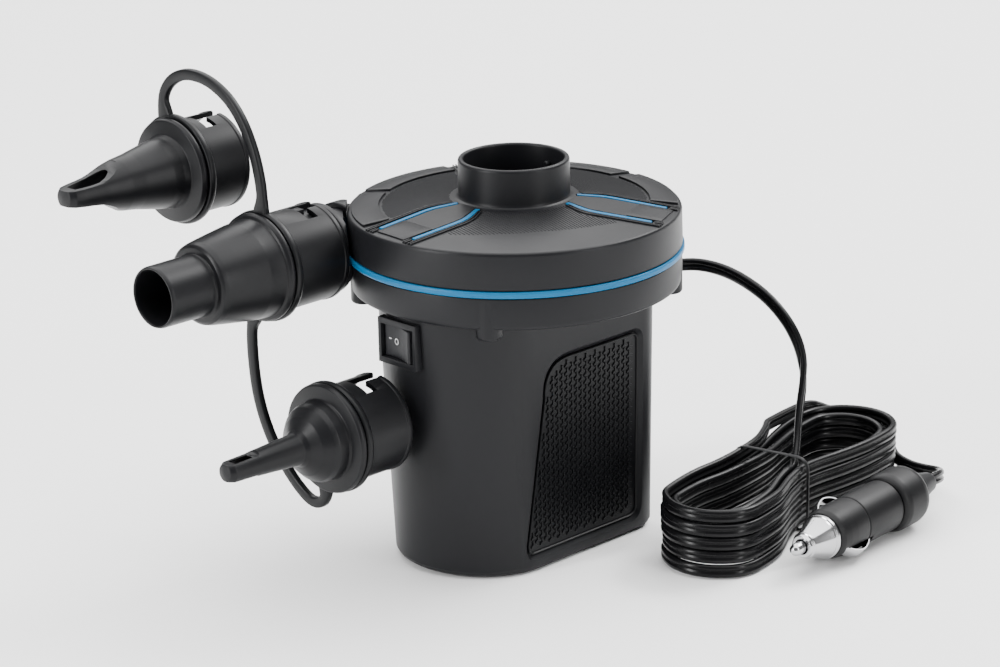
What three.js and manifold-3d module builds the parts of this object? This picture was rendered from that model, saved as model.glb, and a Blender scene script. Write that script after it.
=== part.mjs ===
// Hand-held 12 V air pump for mattresses: a round blower head on an oblong grip body,
// a nozzle set on one strap, and a flat twin cord in a tied hank with a vehicle plug.
// Millimetres, +Z up. The origin is on the blower's axis, on the floor. The switch and
// the outlet face -Y, the cord leaves towards +Y.
import * as THREE from "three";
import { mergeVertices } from "three/addons/utils/BufferGeometryUtils.js";
import Module from "manifold-3d";

const wasm = await Module();
wasm.setup();

// Driving dimensions
const GAP = 0.3; // clearance between pieces that rest on each other
const HEAD_R = 65; // blower head radius
const HEAD_WALL = 2.4;
const HEAD_SIDES = 48; // facets round the head
const SKIRT_Z = 106; // underside of the head
const SEAM_Z = 118.6; // top edge of the volute housing
const COVER_Z = 121.7; // bottom edge of the top cover
const RIM_Z = 136.3; // top edge of the head's side wall
const CROWN_Z = 140.8; // where the conical top meets the collar
const COLLAR_R = 21.7;
const COLLAR_BORE = 19.5;
const COLLAR_TOP = 156;
const BODY_W = 35; // half width of the grip body at its top
const BODY_FRONT = 26; // how far the front arc's centre lies before the axis
const BODY_BACK = 47.7;
const BODY_CORNER = 11;
const BODY_WALL = 2.4;
const OUTLET_X = -49; // outlet pipe axis
const OUTLET_Z = 122;
const PIPE_R = 14.2;
const SPIGOT_R = 16.7;
const RING_Y = -87; // plane of the nozzle strap
const MOTOR_R = 18;
const IMPELLER_R = 44;
const SCREW_RADIUS = 60; // circle of the head screws
const SCREW_ANGLES = [-125, -55, 40, 140]; // degrees from +X
const ARM_ANGLES = [-94.5, 25.5, 145.5]; // the three raised arms of the cover
const CORD_Z = 91; // height of the cord outlet
const CORD_R = 2.75;
const HANK_TOP = 32;
const PLUG_TIP = [113.6, 33.2, 12.6];
const PLUG_TURN = 0.086; // radians about Z
const PLUG_R = 10.5;

const group = new THREE.Group();

// Materials, one for each finish
const finish = (color, roughness, metalness = 0) =>
  new THREE.MeshStandardMaterial({ color, roughness, metalness });
const CHARCOAL = finish(0x2c2d31, 0.5);
const GRIP = finish(0x1d1e22, 0.7);
const BLUE = finish(0x2079b8, 0.4);
const SOFT = finish(0x2a2b2f, 0.6);
const CABLE = finish(0x151518, 0.45);
const STEEL = finish(0xb4b6ba, 0.3, 1);
const COPPER = finish(0x9a5a36, 0.4, 1);
const WHITE = finish(0xd8d8d4, 0.4);

// Solids

function solid(geometry) {
  const bare = geometry.clone();
  bare.deleteAttribute("normal");
  bare.deleteAttribute("uv");
  const merged = mergeVertices(bare, 1e-4);
  const index = merged.index.array;
  const kept = [];
  for (let i = 0; i < index.length; i += 3) {
    const [a, b, c] = [index[i], index[i + 1], index[i + 2]];
    if (a !== b && b !== c && c !== a) kept.push(a, b, c);
  }
  const vertProperties = Float32Array.from(merged.attributes.position.array);
  return new wasm.Manifold(
    new wasm.Mesh({ numProp: 3, vertProperties, triVerts: Uint32Array.from(kept) }),
  );
}

function surface(manifold) {
  const mesh = manifold.getMesh();
  const geometry = new THREE.BufferGeometry();
  geometry.setAttribute("position", new THREE.BufferAttribute(mesh.vertProperties, 3));
  geometry.setIndex(new THREE.BufferAttribute(mesh.triVerts, 1));
  geometry.computeVertexNormals();
  return geometry;
}

function add(name, manifold, material, parent = group) {
  const mesh = new THREE.Mesh(surface(manifold), material);
  mesh.name = name;
  parent.add(mesh);
  return mesh;
}

function shapeOf(points) {
  return new THREE.Shape(points.map(([x, y]) => new THREE.Vector2(x, y)));
}

// A turned solid about Z from a closed outline of [radius, height] points.
function turned(outline, segments = 24) {
  const ring = [...outline, outline[0]].map(([r, z]) => new THREE.Vector2(Math.max(r, 0), z));
  const clockwise = THREE.ShapeUtils.area(ring) < 0;
  const profile = clockwise ? ring.reverse() : ring;
  return solid(new THREE.LatheGeometry(profile, segments).rotateX(Math.PI / 2));
}

// A plate in the XY plane from z to z + height.
function plate(shape, z, height, curveSegments = 16) {
  const options = { depth: height, bevelEnabled: false, curveSegments };
  return solid(new THREE.ExtrudeGeometry(shape, options).translate(0, 0, z));
}

function block(x0, x1, y0, y1, z0, z1) {
  const box = new THREE.BoxGeometry(x1 - x0, y1 - y0, z1 - z0);
  return solid(box.translate((x0 + x1) / 2, (y0 + y1) / 2, (z0 + z1) / 2));
}

function rod(r, z0, z1, x = 0, y = 0, sides = 14) {
  const cylinder = new THREE.CylinderGeometry(r, r, z1 - z0, sides).rotateX(Math.PI / 2);
  return solid(cylinder.translate(x, y, (z0 + z1) / 2));
}

// Maps local axes (x, y, z) onto the given world directions, then moves the origin.
function placed(manifold, xTo, yTo, zTo, origin) {
  const matrix = new THREE.Matrix4().makeBasis(
    new THREE.Vector3(...xTo),
    new THREE.Vector3(...yTo),
    new THREE.Vector3(...zTo),
  );
  matrix.setPosition(...origin);
  return solid(surface(manifold).applyMatrix4(matrix));
}

const towardsFront = (manifold, x, z, y = RING_Y) =>
  placed(manifold, [1, 0, 0], [0, 0, 1], [0, -1, 0], [x, y, z]);
const towardsBack = (manifold, x, y, z) =>
  placed(manifold, [-1, 0, 0], [0, 0, 1], [0, 1, 0], [x, y, z]);
const sideways = (manifold, x) => placed(manifold, [0, 1, 0], [0, 0, 1], [1, 0, 0], [x, 0, 0]);

// A round tube or cord along points.
function tube(points, radius, steps, sides = 8) {
  const path = new THREE.CatmullRomCurve3(points.map((p) => new THREE.Vector3(...p)));
  const section = shapeOf(
    Array.from({ length: sides }, (_, i) => {
      const angle = (2 * Math.PI * i) / sides;
      return [radius * Math.cos(angle), radius * Math.sin(angle)];
    }),
  );
  return solid(new THREE.ExtrudeGeometry(section, { steps, extrudePath: path, bevelEnabled: false }));
}

// A flat band of constant width along a curve in a plane, as a closed outline.
function bandOutline(points, width, steps) {
  const curve = new THREE.SplineCurve(points.map(([x, y]) => new THREE.Vector2(x, y)));
  const left = [];
  const right = [];
  for (let i = 0; i <= steps; i += 1) {
    const at = curve.getPoint(i / steps);
    const along = curve.getTangent(i / steps);
    left.push([at.x - (along.y * width) / 2, at.y + (along.x * width) / 2]);
    right.unshift([at.x + (along.y * width) / 2, at.y - (along.x * width) / 2]);
  }
  return shapeOf([...left, ...right]);
}

const radians = THREE.MathUtils.degToRad;
const polar = (r, degrees) => [r * Math.cos(radians(degrees)), r * Math.sin(radians(degrees))];

// Grip body: an oblong moulding with a round front that narrows towards the floor

function bodyOutline(inset) {
  const r = BODY_W - inset;
  const corner = BODY_CORNER - Math.min(inset, BODY_CORNER / 2);
  const back = BODY_BACK - inset;
  const shape = new THREE.Shape();
  shape.moveTo(r, -BODY_FRONT);
  shape.absarc(0, -BODY_FRONT, r, 0, -Math.PI, true);
  shape.lineTo(-r, back - corner);
  shape.absarc(-r + corner, back - corner, corner, Math.PI, Math.PI / 2, true);
  shape.lineTo(r - corner, back);
  shape.absarc(r - corner, back - corner, corner, Math.PI / 2, 0, true);
  return shape;
}

// The mould draft: sides, front and back lean in towards the floor by their own share.
function drafted(geometry) {
  const position = geometry.attributes.position;
  for (let i = 0; i < position.count; i += 1) {
    const depth = 1 - position.getZ(i) / SKIRT_Z;
    const y = position.getY(i);
    position.setX(i, position.getX(i) * (1 - 0.03 * depth));
    position.setY(i, y * (1 - (y < 0 ? 0.1 : 0.035) * depth));
  }
  return geometry;
}

// levels lists [height, inset of the rounded foot] from the bottom up.
function bodySolid(inset, levels) {
  const steps = levels.length - 1;
  const options = { depth: steps, steps, bevelEnabled: false, curveSegments: 14 };
  const geometry = new THREE.ExtrudeGeometry(bodyOutline(inset), options);
  const position = geometry.attributes.position;
  for (let i = 0; i < position.count; i += 1) {
    const [z, foot] = levels[Math.round(position.getZ(i))];
    const shrink = 1 - foot / BODY_W;
    position.setXYZ(i, position.getX(i) * shrink, position.getY(i) * shrink, z);
  }
  return solid(drafted(geometry));
}

function panelOutline(grow) {
  const [front, back, low, high, lean, crown] = [-32, 33.5, 7.5, 84, 12, 14];
  const shape = new THREE.Shape();
  shape.moveTo(front + 3 - grow, low - grow);
  shape.lineTo(back - 5, low - grow);
  shape.quadraticCurveTo(back + grow, low - grow, back + grow, low + 5);
  shape.lineTo(back + grow, high - 4);
  shape.quadraticCurveTo(back + grow, high + grow, back - 4, high + grow);
  shape.lineTo(front + lean + crown, high + grow);
  shape.quadraticCurveTo(front + lean - grow, high + grow, front + lean - grow, high - crown);
  shape.lineTo(front - grow, low + 4);
  shape.quadraticCurveTo(front - grow, low - grow, front + 3 - grow, low - grow);
  return shape;
}

const outerBody = bodySolid(0, [[0, 3.2], [0.9, 1.2], [3.2, 0], [SKIRT_Z - GAP, 0]]);
const clearBody = bodySolid(-GAP, [[-1, 0], [SKIRT_Z + 1, 0]]);
const cavity = bodySolid(BODY_WALL, [[3, 0], [SKIRT_Z + 1, 0]]);
const PANEL_DEPTH = BODY_W - 1.6; // the panels' inner faces

const sidePanel = (grow, x, thickness) =>
  solid(drafted(surface(sideways(plate(panelOutline(grow), x, thickness, 6), 0))));

const SWITCH = { x: -2, z: 94.8, width: 20.4, height: 18, face: -62.7, back: -42 };
const WELL = { width: 17.2, height: 13.4, floor: -50 };

function buildBody() {
  const switchHole = block(
    SWITCH.x - 9.3, SWITCH.x + 9.3, -70, -50, SWITCH.z - 7.5, SWITCH.z + 7.5,
  );
  const cordHole = towardsBack(rod(4.4, 0, 20), 0, 40, CORD_Z);
  const recess = (side) =>
    side > 0 ? sidePanel(GAP, PANEL_DEPTH - GAP, 4) : sidePanel(GAP, -PANEL_DEPTH + GAP - 4, 4);
  const shell = outerBody
    .subtract(cavity)
    .subtract(switchHole)
    .subtract(cordHole)
    .subtract(recess(1))
    .subtract(recess(-1));
  add("body_shell", shell, CHARCOAL);
  add("grip_panel_right", sidePanel(0, PANEL_DEPTH, 1.1), GRIP);
  add("grip_panel_left", sidePanel(0, -PANEL_DEPTH - 1.1, 1.1), GRIP);
}

// Rocker switch: a bezel with a snap-in box, a button on a vertical pivot and two tabs

function buildSwitch() {
  const { x, z, width, height, face, back } = SWITCH;
  const bezel = block(x - width / 2, x + width / 2, face, -56, z - height / 2, z + height / 2)
    .subtract(clearBody);
  const box = block(x - 9, x + 9, face + 1, back, z - 7.2, z + 7.2);
  const well = block(
    x - WELL.width / 2, x + WELL.width / 2, face - 1, WELL.floor, z - WELL.height / 2, z + WELL.height / 2,
  );
  add("switch_housing", bezel.add(box).subtract(well), CHARCOAL);

  const button = shapeOf([
    [-8.1, -1.4], [-7.6, -2], [-0.6, -0.8], [0.6, -0.8], [7.6, -2], [8.1, -1.4],
    [7.2, 2.2], [3, 5], [-3, 5], [-7.2, 2.2],
  ]);
  const pivot = new THREE.Group();
  pivot.position.set(x, face + 2.2, z);
  pivot.rotation.z = radians(-10);
  group.add(pivot);
  add("rocker_button", plate(button, -WELL.height / 2 + GAP, WELL.height - 2 * GAP), SOFT, pivot);
  for (const [number, side] of [[1, -1], [2, 1]]) {
    const tabX = x + side * 5;
    add(
      `switch_terminal_${number}`,
      block(tabX - 2.4, tabX + 2.4, back + GAP, back + 7, z - 0.4, z + 0.4),
      COPPER,
    );
  }
}

// Volute housing: the lower half of the head, with the outlet pipe and screw bosses

function buildVolute() {
  const inner = HEAD_R - HEAD_WALL;
  const floorTop = SKIRT_Z + 2.2;
  const shell = turned([
    [6.5, SKIRT_Z], [HEAD_R - 1.6, SKIRT_Z], [HEAD_R - 0.5, SKIRT_Z + 0.8], [HEAD_R, SEAM_Z],
    [inner, SEAM_Z], [inner, floorTop], [6.5, floorTop],
  ], HEAD_SIDES);
  const pipe = turned([
    [0, 0], [PIPE_R, 0], [PIPE_R, 55.6], [18, 55.6], [18, 58.6], [SPIGOT_R, 59], [SPIGOT_R, 81],
    [SPIGOT_R - 0.6, 81.8], [0, 81.8],
  ], 24);
  const bore = turned([[0, -10], [12.2, -10], [12.2, 57], [14.6, 62], [14.6, 90], [0, 90]], 24);
  const lug = block(OUTLET_X - 2, OUTLET_X + 2, -71, -67, OUTLET_Z + 14, OUTLET_Z + 18.6);
  const headAbove = turned([[0, SEAM_Z], [HEAD_R + 1.6, SEAM_Z], [HEAD_R + 1.6, 150], [0, 150]], HEAD_SIDES);
  const headInside = turned([[0, floorTop], [inner, floorTop], [inner, 150], [0, 150]], HEAD_SIDES);
  const airPath = towardsFront(bore, OUTLET_X, OUTLET_Z, 0);
  let housing = shell.add(
    towardsFront(pipe, OUTLET_X, OUTLET_Z, 0).add(lug).subtract(headAbove).subtract(headInside),
  );
  for (const angle of SCREW_ANGLES) {
    const [x, y] = polar(SCREW_RADIUS, angle);
    housing = housing
      .add(rod(5, 97, SEAM_Z, x, y))
      .subtract(rod(3.4, 90, 101.5, x, y))
      .subtract(rod(1.8, 90, SEAM_Z + 5, x, y, 12));
  }
  for (const side of [-1, 1]) housing = housing.subtract(rod(1.8, 100, 110, side * 12, 0, 12));
  add("volute_housing", housing.subtract(airPath), CHARCOAL);

  SCREW_ANGLES.forEach((angle, i) => {
    const [x, y] = polar(SCREW_RADIUS, angle);
    const screw = rod(3, 98.8, 101.2, x, y, 16).add(rod(1.4, 101, 128, x, y, 10));
    add(`head_screw_${i + 1}`, screw, STEEL);
  });
}

// Top cover: side wall, conical top and inlet collar with two bayonet studs

const coneZ = (r) => RIM_Z + ((CROWN_Z - RIM_Z) * (HEAD_R - 1 - r)) / (HEAD_R - 1 - COLLAR_R);

// A layer that follows the cone, from below its surface to above it.
const coneLayer = (below, above) =>
  turned([
    [COLLAR_R + 0.4, coneZ(COLLAR_R) - below], [HEAD_R - 1, coneZ(HEAD_R - 1) - below],
    [HEAD_R - 1, coneZ(HEAD_R - 1) + above], [COLLAR_R + 0.4, coneZ(COLLAR_R) + above],
  ], HEAD_SIDES);

// One blue bar of an arm: it leaves the collar, bends once and runs to the rim.
function inlayBar(angle, side, width) {
  const turn = radians(angle);
  const line = [[24.5, 6.4], [33.5, 10.4], [61, 9.8]].map(([out, across]) => [
    out * Math.cos(turn) - side * across * Math.sin(turn),
    out * Math.sin(turn) + side * across * Math.cos(turn),
  ]);
  const half = width / 2;
  const segments = [[line[0], line[1]], [line[1], line[2]]].map(([from, to]) => {
    const length = Math.hypot(to[0] - from[0], to[1] - from[1]);
    const bar = plate(shapeOf([[-half, -half], [length + half, -half], [length + half, half], [-half, half]]), 130, 20);
    const heading = Math.atan2(to[1] - from[1], to[0] - from[0]);
    const [c, s] = [Math.cos(heading), Math.sin(heading)];
    return placed(bar, [c, s, 0], [-s, c, 0], [0, 0, 1], [...from, 0]);
  });
  return segments[0].add(segments[1]);
}

function buildCover() {
  const inner = HEAD_R - HEAD_WALL;
  const plateThickness = 2.4;
  let cover = turned([
    [inner, COVER_Z], [HEAD_R + 0.2, COVER_Z], [HEAD_R, RIM_Z - 1], [HEAD_R - 0.3, RIM_Z - 0.3],
    [HEAD_R - 1, RIM_Z], [COLLAR_R + 0.6, CROWN_Z], [COLLAR_R, CROWN_Z + 0.6],
    [COLLAR_R, COLLAR_TOP - 0.7], [COLLAR_R - 0.7, COLLAR_TOP], [COLLAR_BORE + 0.5, COLLAR_TOP],
    [COLLAR_BORE, COLLAR_TOP - 0.5], [COLLAR_BORE, CROWN_Z - plateThickness],
    [inner, RIM_Z - plateThickness],
  ], HEAD_SIDES);
  for (const side of [-1, 1]) {
    const stud = towardsBack(rod(1.4, 0, 3), 0, 0, 0);
    cover = cover.add(stud.translate([0, side > 0 ? COLLAR_BORE - 1.9 : -COLLAR_BORE - 1.1, 149]));
  }
  for (const angle of SCREW_ANGLES) {
    const [x, y] = polar(SCREW_RADIUS - 1, angle);
    const [screwX, screwY] = polar(SCREW_RADIUS, angle);
    const boss = rod(4, COVER_Z + 1, RIM_Z - 1.5, x, y);
    cover = cover.add(boss).subtract(rod(1.8, COVER_Z - 5, 130, screwX, screwY, 12));
  }
  const groove = coneLayer(0.9, 3);
  const filling = coneLayer(0.6, 0.5);
  let number = 1;
  for (const angle of ARM_ANGLES) {
    for (const side of [-1, 1]) {
      cover = cover.subtract(inlayBar(angle, side, 2.6).intersect(groove));
      add(`blue_inlay_${number}`, inlayBar(angle, side, 2).intersect(filling), BLUE);
      number += 1;
    }
  }
  const outletCut = towardsFront(rod(12.2, 30, 90), OUTLET_X, OUTLET_Z, 0);
  add("top_cover", cover.subtract(outletCut), CHARCOAL);

  const ring = turned([
    [inner + 0.3, SEAM_Z + GAP], [HEAD_R + 1, SEAM_Z + GAP], [HEAD_R + 1, COVER_Z - GAP],
    [inner + 0.3, COVER_Z - GAP],
  ], HEAD_SIDES);
  const screwHoles = SCREW_ANGLES.map((angle) => rod(1.8, 110, 130, ...polar(SCREW_RADIUS, angle), 12));
  const pipeCut = towardsFront(rod(PIPE_R + GAP, 30, 90), OUTLET_X, OUTLET_Z, 0);
  add("trim_ring", screwHoles.reduce((rest, hole) => rest.subtract(hole), ring.subtract(pipeCut)), BLUE);

  let grille = turned([[17, 136], [19.2, 136], [19.2, 137.6], [17, 137.6]], 20)
    .add(turned([[9, 136], [11, 136], [11, 137.6], [9, 137.6]], 16));
  for (const turn of [0, 60, 120]) {
    const [c, s] = polar(1, turn);
    const bar = block(-18, 18, -0.8, 0.8, 136, 137.6);
    grille = grille.add(placed(bar, [c, s, 0], [-s, c, 0], [0, 0, 1], [0, 0, 0]));
  }
  add("inlet_grille", grille, CHARCOAL);
}

// Motor and impeller: a can hung under the volute floor, its rotor and a backswept fan

function buildMotor() {
  const canTop = SKIRT_Z - GAP;
  let can = turned([
    [MOTOR_R - 1, 49], [MOTOR_R, 49], [MOTOR_R, canTop], [4.5, canTop], [4.5, canTop - 1.2],
    [MOTOR_R - 1, canTop - 1.2],
  ]);
  for (const side of [-1, 1]) can = can.subtract(rod(1.8, 100, 110, side * 12, 0, 12));
  add("motor_can", can, STEEL);
  let cap = turned([[0, 44.5], [MOTOR_R, 44.5], [MOTOR_R, 48.7], [0, 48.7]]);
  for (const side of [-1, 1]) cap = cap.add(block(side * 8 - 0.5, side * 8 + 0.5, -2, 2, 38, 45));
  add("motor_end_cap", cap, WHITE);
  add("motor_rotor", turned([
    [0, 51], [1.6, 51], [1.6, 58], [13, 58], [13, 95], [1.6, 95], [1.6, 124], [0, 124],
  ]), COPPER);
  for (const [number, side] of [[1, -1], [2, 1]]) {
    const screw = rod(3, 108.5, 110.2, side * 12, 0, 16).add(rod(1.4, 102, 109, side * 12, 0, 10));
    add(`motor_screw_${number}`, screw, STEEL);
  }

  let fan = turned([[0, 111.4], [IMPELLER_R, 111.4], [IMPELLER_R, 112.8], [7, 112.8], [7, 121], [0, 121]], 32);
  for (let blade = 0; blade < 8; blade += 1) {
    const line = [[5, 0], [14, 1], [24, -3], [34, -10], [41.5, -13]];
    const vane = plate(bandOutline(line, 1.4, 8), 112, 10.6, 1);
    const [c, s] = polar(1, blade * 45);
    fan = fan.add(placed(vane, [c, s, 0], [-s, c, 0], [0, 0, 1], [0, 0, 0]));
  }
  add("impeller", fan.subtract(rod(1.9, 110, 130)), SOFT);
}

// Wiring inside the body

function buildWires() {
  const { x, z, back } = SWITCH;
  add("wire_feed", tube([
    [2.2, 39.9, CORD_Z], [12, 36, 90], [24, 24, 88], [26, 0, 90], [20, -22, 93], [x + 5, -33.5, z],
  ], 0.9, 14, 6), CABLE);
  add("wire_return", tube([
    [-2.2, 39.9, CORD_Z], [-8, 36, 80], [-9, 28, 55], [-9, 16, 38], [-8, 3, 35.6],
  ], 0.9, 14, 6), CABLE);
  add("wire_motor", tube([
    [x - 5, back + 8.5, z - 1.5], [-20, -26, 80], [-24, -14, 55], [-8, -14, 36], [6, -4, 35.6],
  ], 0.9, 14, 6), CABLE);
}

// Nozzles: all three share the socket and the flange that holds the strap's ring

const NOZZLE = {
  large: { x: OUTLET_X, z: OUTLET_Z, socket: 27.4 },
  upper: { x: -97.5, z: 151.5, socket: 21 },
  lower: { x: -12.8, z: 61.5, socket: 24 },
};
const RING_HALF = 1.5; // half the strap's thickness
const GROOVE_R = 18.4;

// Outline from the socket's mouth to the tip along the outside, then back inside.
const nozzleBlank = (socket, barrel, outside, inside) =>
  turned([
    [17, -socket], [barrel - 0.4, -socket], [barrel, -socket + 0.5], [barrel, -RING_HALF - GAP],
    [GROOVE_R, -RING_HALF - GAP], [GROOVE_R, RING_HALF + GAP], ...outside, ...inside,
  ], 24);

// The bayonet slot: one leg along the axis, one round the barrel from its inner end.
function bayonetSlot(socket, corner) {
  const along = block(-2.6, 2.6, 14, 25, -socket - 1, corner);
  const sector = new THREE.Shape();
  const [start, end] = [radians(62), radians(90)];
  sector.absarc(0, 0, 25, start, end, false);
  sector.absarc(0, 0, 14, end, start, true);
  return along.add(plate(sector, corner - 5.2, 5.2, 6));
}

function buildNozzles() {
  const large = nozzleBlank(NOZZLE.large.socket, 19,
    [[21, 1.8], [21.2, 3], [20.6, 4.4], [19.3, 5], [18.9, 12], [17.2, 24], [15.9, 31], [14.4, 33.4],
      [12.2, 33.4], [12, 34], [11.9, 54], [11.5, 54.6], [10.9, 54.6]],
    [[10.6, 54], [10.6, 33], [14.4, 30], [17, 4], [17, -RING_HALF]]);
  add("large_nozzle",
    towardsFront(large.subtract(bayonetSlot(NOZZLE.large.socket, -15.6)), NOZZLE.large.x, NOZZLE.large.z),
    CHARCOAL);

  const pinch = nozzleBlank(NOZZLE.upper.socket, 18.8,
    [[20.4, 1.8], [20.6, 3], [20, 4.6], [14.3, 5.2], [13.4, 12], [11.2, 24], [10.8, 30], [9.6, 40],
      [8.8, 54], [8, 56], [0, 56.6]],
    [[0, 53], [6.2, 53], [7.6, 40], [8.9, 26], [12, 5], [17, 2], [17, -RING_HALF]]);
  const wedge = shapeOf([
    [-25, -25], [30, -25], [30.5, -11], [33, -8.6], [39, -5], [44, -3.8], [57, -3],
    [57, 3], [44, 3.8], [39, 5], [33, 8.6], [30.5, 11], [30, 25], [-25, 25],
  ]);
  const wedgeSolid = placed(plate(wedge, -25, 50), [0, 0, 1], [0, 1, 0], [-1, 0, 0], [0, 0, 0]);
  add("upper_nozzle",
    towardsFront(
      pinch.intersect(wedgeSolid).subtract(bayonetSlot(NOZZLE.upper.socket, -8)),
      NOZZLE.upper.x, NOZZLE.upper.z,
    ),
    CHARCOAL);

  const slim = nozzleBlank(NOZZLE.lower.socket, 19,
    [[21.2, 1.8], [21.5, 3], [21, 4.6], [15.6, 5.2], [15.4, 10], [14.6, 12], [11.5, 15.4], [7.4, 18],
      [6.2, 19.4], [5, 39], [4.6, 52], [3.4, 54], [0, 54.6]],
    [[0, 51.5], [3.2, 51.5], [3.6, 38], [4.4, 18], [12, 9], [17, 4], [17, -RING_HALF]]);
  const tipFlats = shapeOf([[-30, -30], [38, -30], [40, -3.4], [56, -3.4], [56, 3.4], [40, 3.4], [38, 30], [-30, 30]]);
  const flatSolid = placed(plate(tipFlats, -30, 60), [0, 0, 1], [0, 1, 0], [-1, 0, 0], [0, 0, 0]);
  const tipSlot = block(-1.9, 1.9, -8, 8, 42, 50.5);
  add("lower_nozzle",
    towardsFront(
      slim.intersect(flatSolid).subtract(tipSlot).subtract(bayonetSlot(NOZZLE.lower.socket, -10)),
      NOZZLE.lower.x, NOZZLE.lower.z,
    ),
    CHARCOAL);
}

function buildStrap() {
  const ringInner = GROOVE_R + GAP;
  let strap = null;
  for (const { x, z } of Object.values(NOZZLE)) {
    const ring = turned([
      [ringInner, -RING_HALF], [21.4, -RING_HALF], [21.8, 0], [21.4, RING_HALF], [ringInner, RING_HALF],
    ], 24);
    const at = towardsFront(ring, x, z);
    strap = strap ? strap.add(at) : at;
  }
  const arms = [
    [[-49, 142.5], [-48.2, 150], [-49.6, 159], [-52.6, 168], [-58, 177.5], [-66, 185.2], [-77, 190],
      [-89, 190.6], [-98.6, 186.6], [-103.8, 179.5], [-103.2, 171.5]],
    [[-54.8, 102.2], [-57.4, 94], [-57.2, 80], [-55, 67], [-50, 54.8], [-42.4, 44.3], [-33.5, 36],
      [-25.5, 32], [-19, 34.4], [-17.6, 41.5]],
  ];
  for (const points of arms) {
    const outline = bandOutline(points, 4.4, 20);
    const arm = plate(outline, -RING_HALF, 2 * RING_HALF, 1);
    strap = strap.add(towardsFront(arm, 0, 0));
  }
  add("nozzle_strap", strap, SOFT);
}

// Cord: strain relief, the hanging lead, the tied hank, the tie and the tail to the plug

const LEAD = [
  [0, 76.4, 91], [0, 81, 91.1], [2.6, 88.4, 91.9], [10, 94, 92.7], [19, 96.6, 92.3], [28, 97.2, 91],
  [37, 97.2, 88.6], [45, 97.3, 85.2], [52, 97.4, 80.6], [58, 97.5, 74.8], [62.4, 97.4, 68],
  [65.2, 96.6, 60.5], [67, 94.4, 53], [68.6, 90.4, 46.4], [70.2, 84.8, 41], [71.6, 79, 38],
];
const HANK = { near: [77, 31], far: [57, 132], nearR: 21, waist: 15, farR: 25 };

function hankOutline() {
  const { near, far, nearR, waist, farR } = HANK;
  const length = Math.hypot(far[0] - near[0], far[1] - near[1]);
  const shape = new THREE.Shape();
  shape.absarc(0, 0, nearR, radians(100), radians(260), false);
  shape.bezierCurveTo(length * 0.25, -nearR, length * 0.25, -waist, length * 0.42, -waist);
  shape.bezierCurveTo(length * 0.62, -waist, length * 0.7, -farR, length, -farR);
  shape.absarc(length, 0, farR, radians(-90), radians(90), false);
  shape.bezierCurveTo(length * 0.7, farR, length * 0.62, waist, length * 0.42, waist);
  shape.bezierCurveTo(length * 0.25, waist, length * 0.25, nearR, ...polar(nearR, 100));
  return { shape, length };
}

function buildCord() {
  const boot = turned([
    [0, 0], [6, 0], [6, 3.1], [4.1, 3.4], [4.1, 6.3], [6.4, 6.6], [6.4, 9], [5.2, 10], [3.8, 34.6], [0, 34.6],
  ], 24);
  add("cord_strain_relief", towardsBack(boot, 0, 41.4, CORD_Z), SOFT);
  add("cord_lead", tube(LEAD, CORD_R, 36), CABLE);

  const { shape, length } = hankOutline();
  const { near, far, waist } = HANK;
  const [c, s] = [(far[0] - near[0]) / length, (far[1] - near[1]) / length];
  const laid = (manifold) => placed(manifold, [c, s, 0], [-s, c, 0], [0, 0, 1], [...near, 0]);
  add("cord_hank", laid(plate(shape, 0, HANK_TOP, 10)), CABLE);

  const half = waist + 1.6;
  const top = HANK_TOP + 1.4;
  const tie = shapeOf([
    [-half - 1, 0.4], [-half, 0.4], [-half, top - 1], [half, top - 1], [half, 0.4], [half + 1, 0.4],
    [half + 1, top], [-half - 1, top],
  ]);
  const tieSolid = placed(plate(tie, -1, 2), [0, 1, 0], [0, 0, 1], [1, 0, 0], [length * 0.42, 0, 0]);
  add("cord_tie", laid(tieSolid), SOFT);
  add("cord_tail", tube([
    [105.1, 128.6, 12.6], [104.2, 135, 12], [101, 141.6, 10.4], [95.2, 146.6, 8.6], [87.6, 149, 7], [78.6, 149.2, 6],
  ], CORD_R, 14), CABLE);
}

// Vehicle plug: built along its own axis from the tip, then laid on the floor

const SPRING_ROLL = radians(-50); // the side springs stand off the vertical by this

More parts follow.
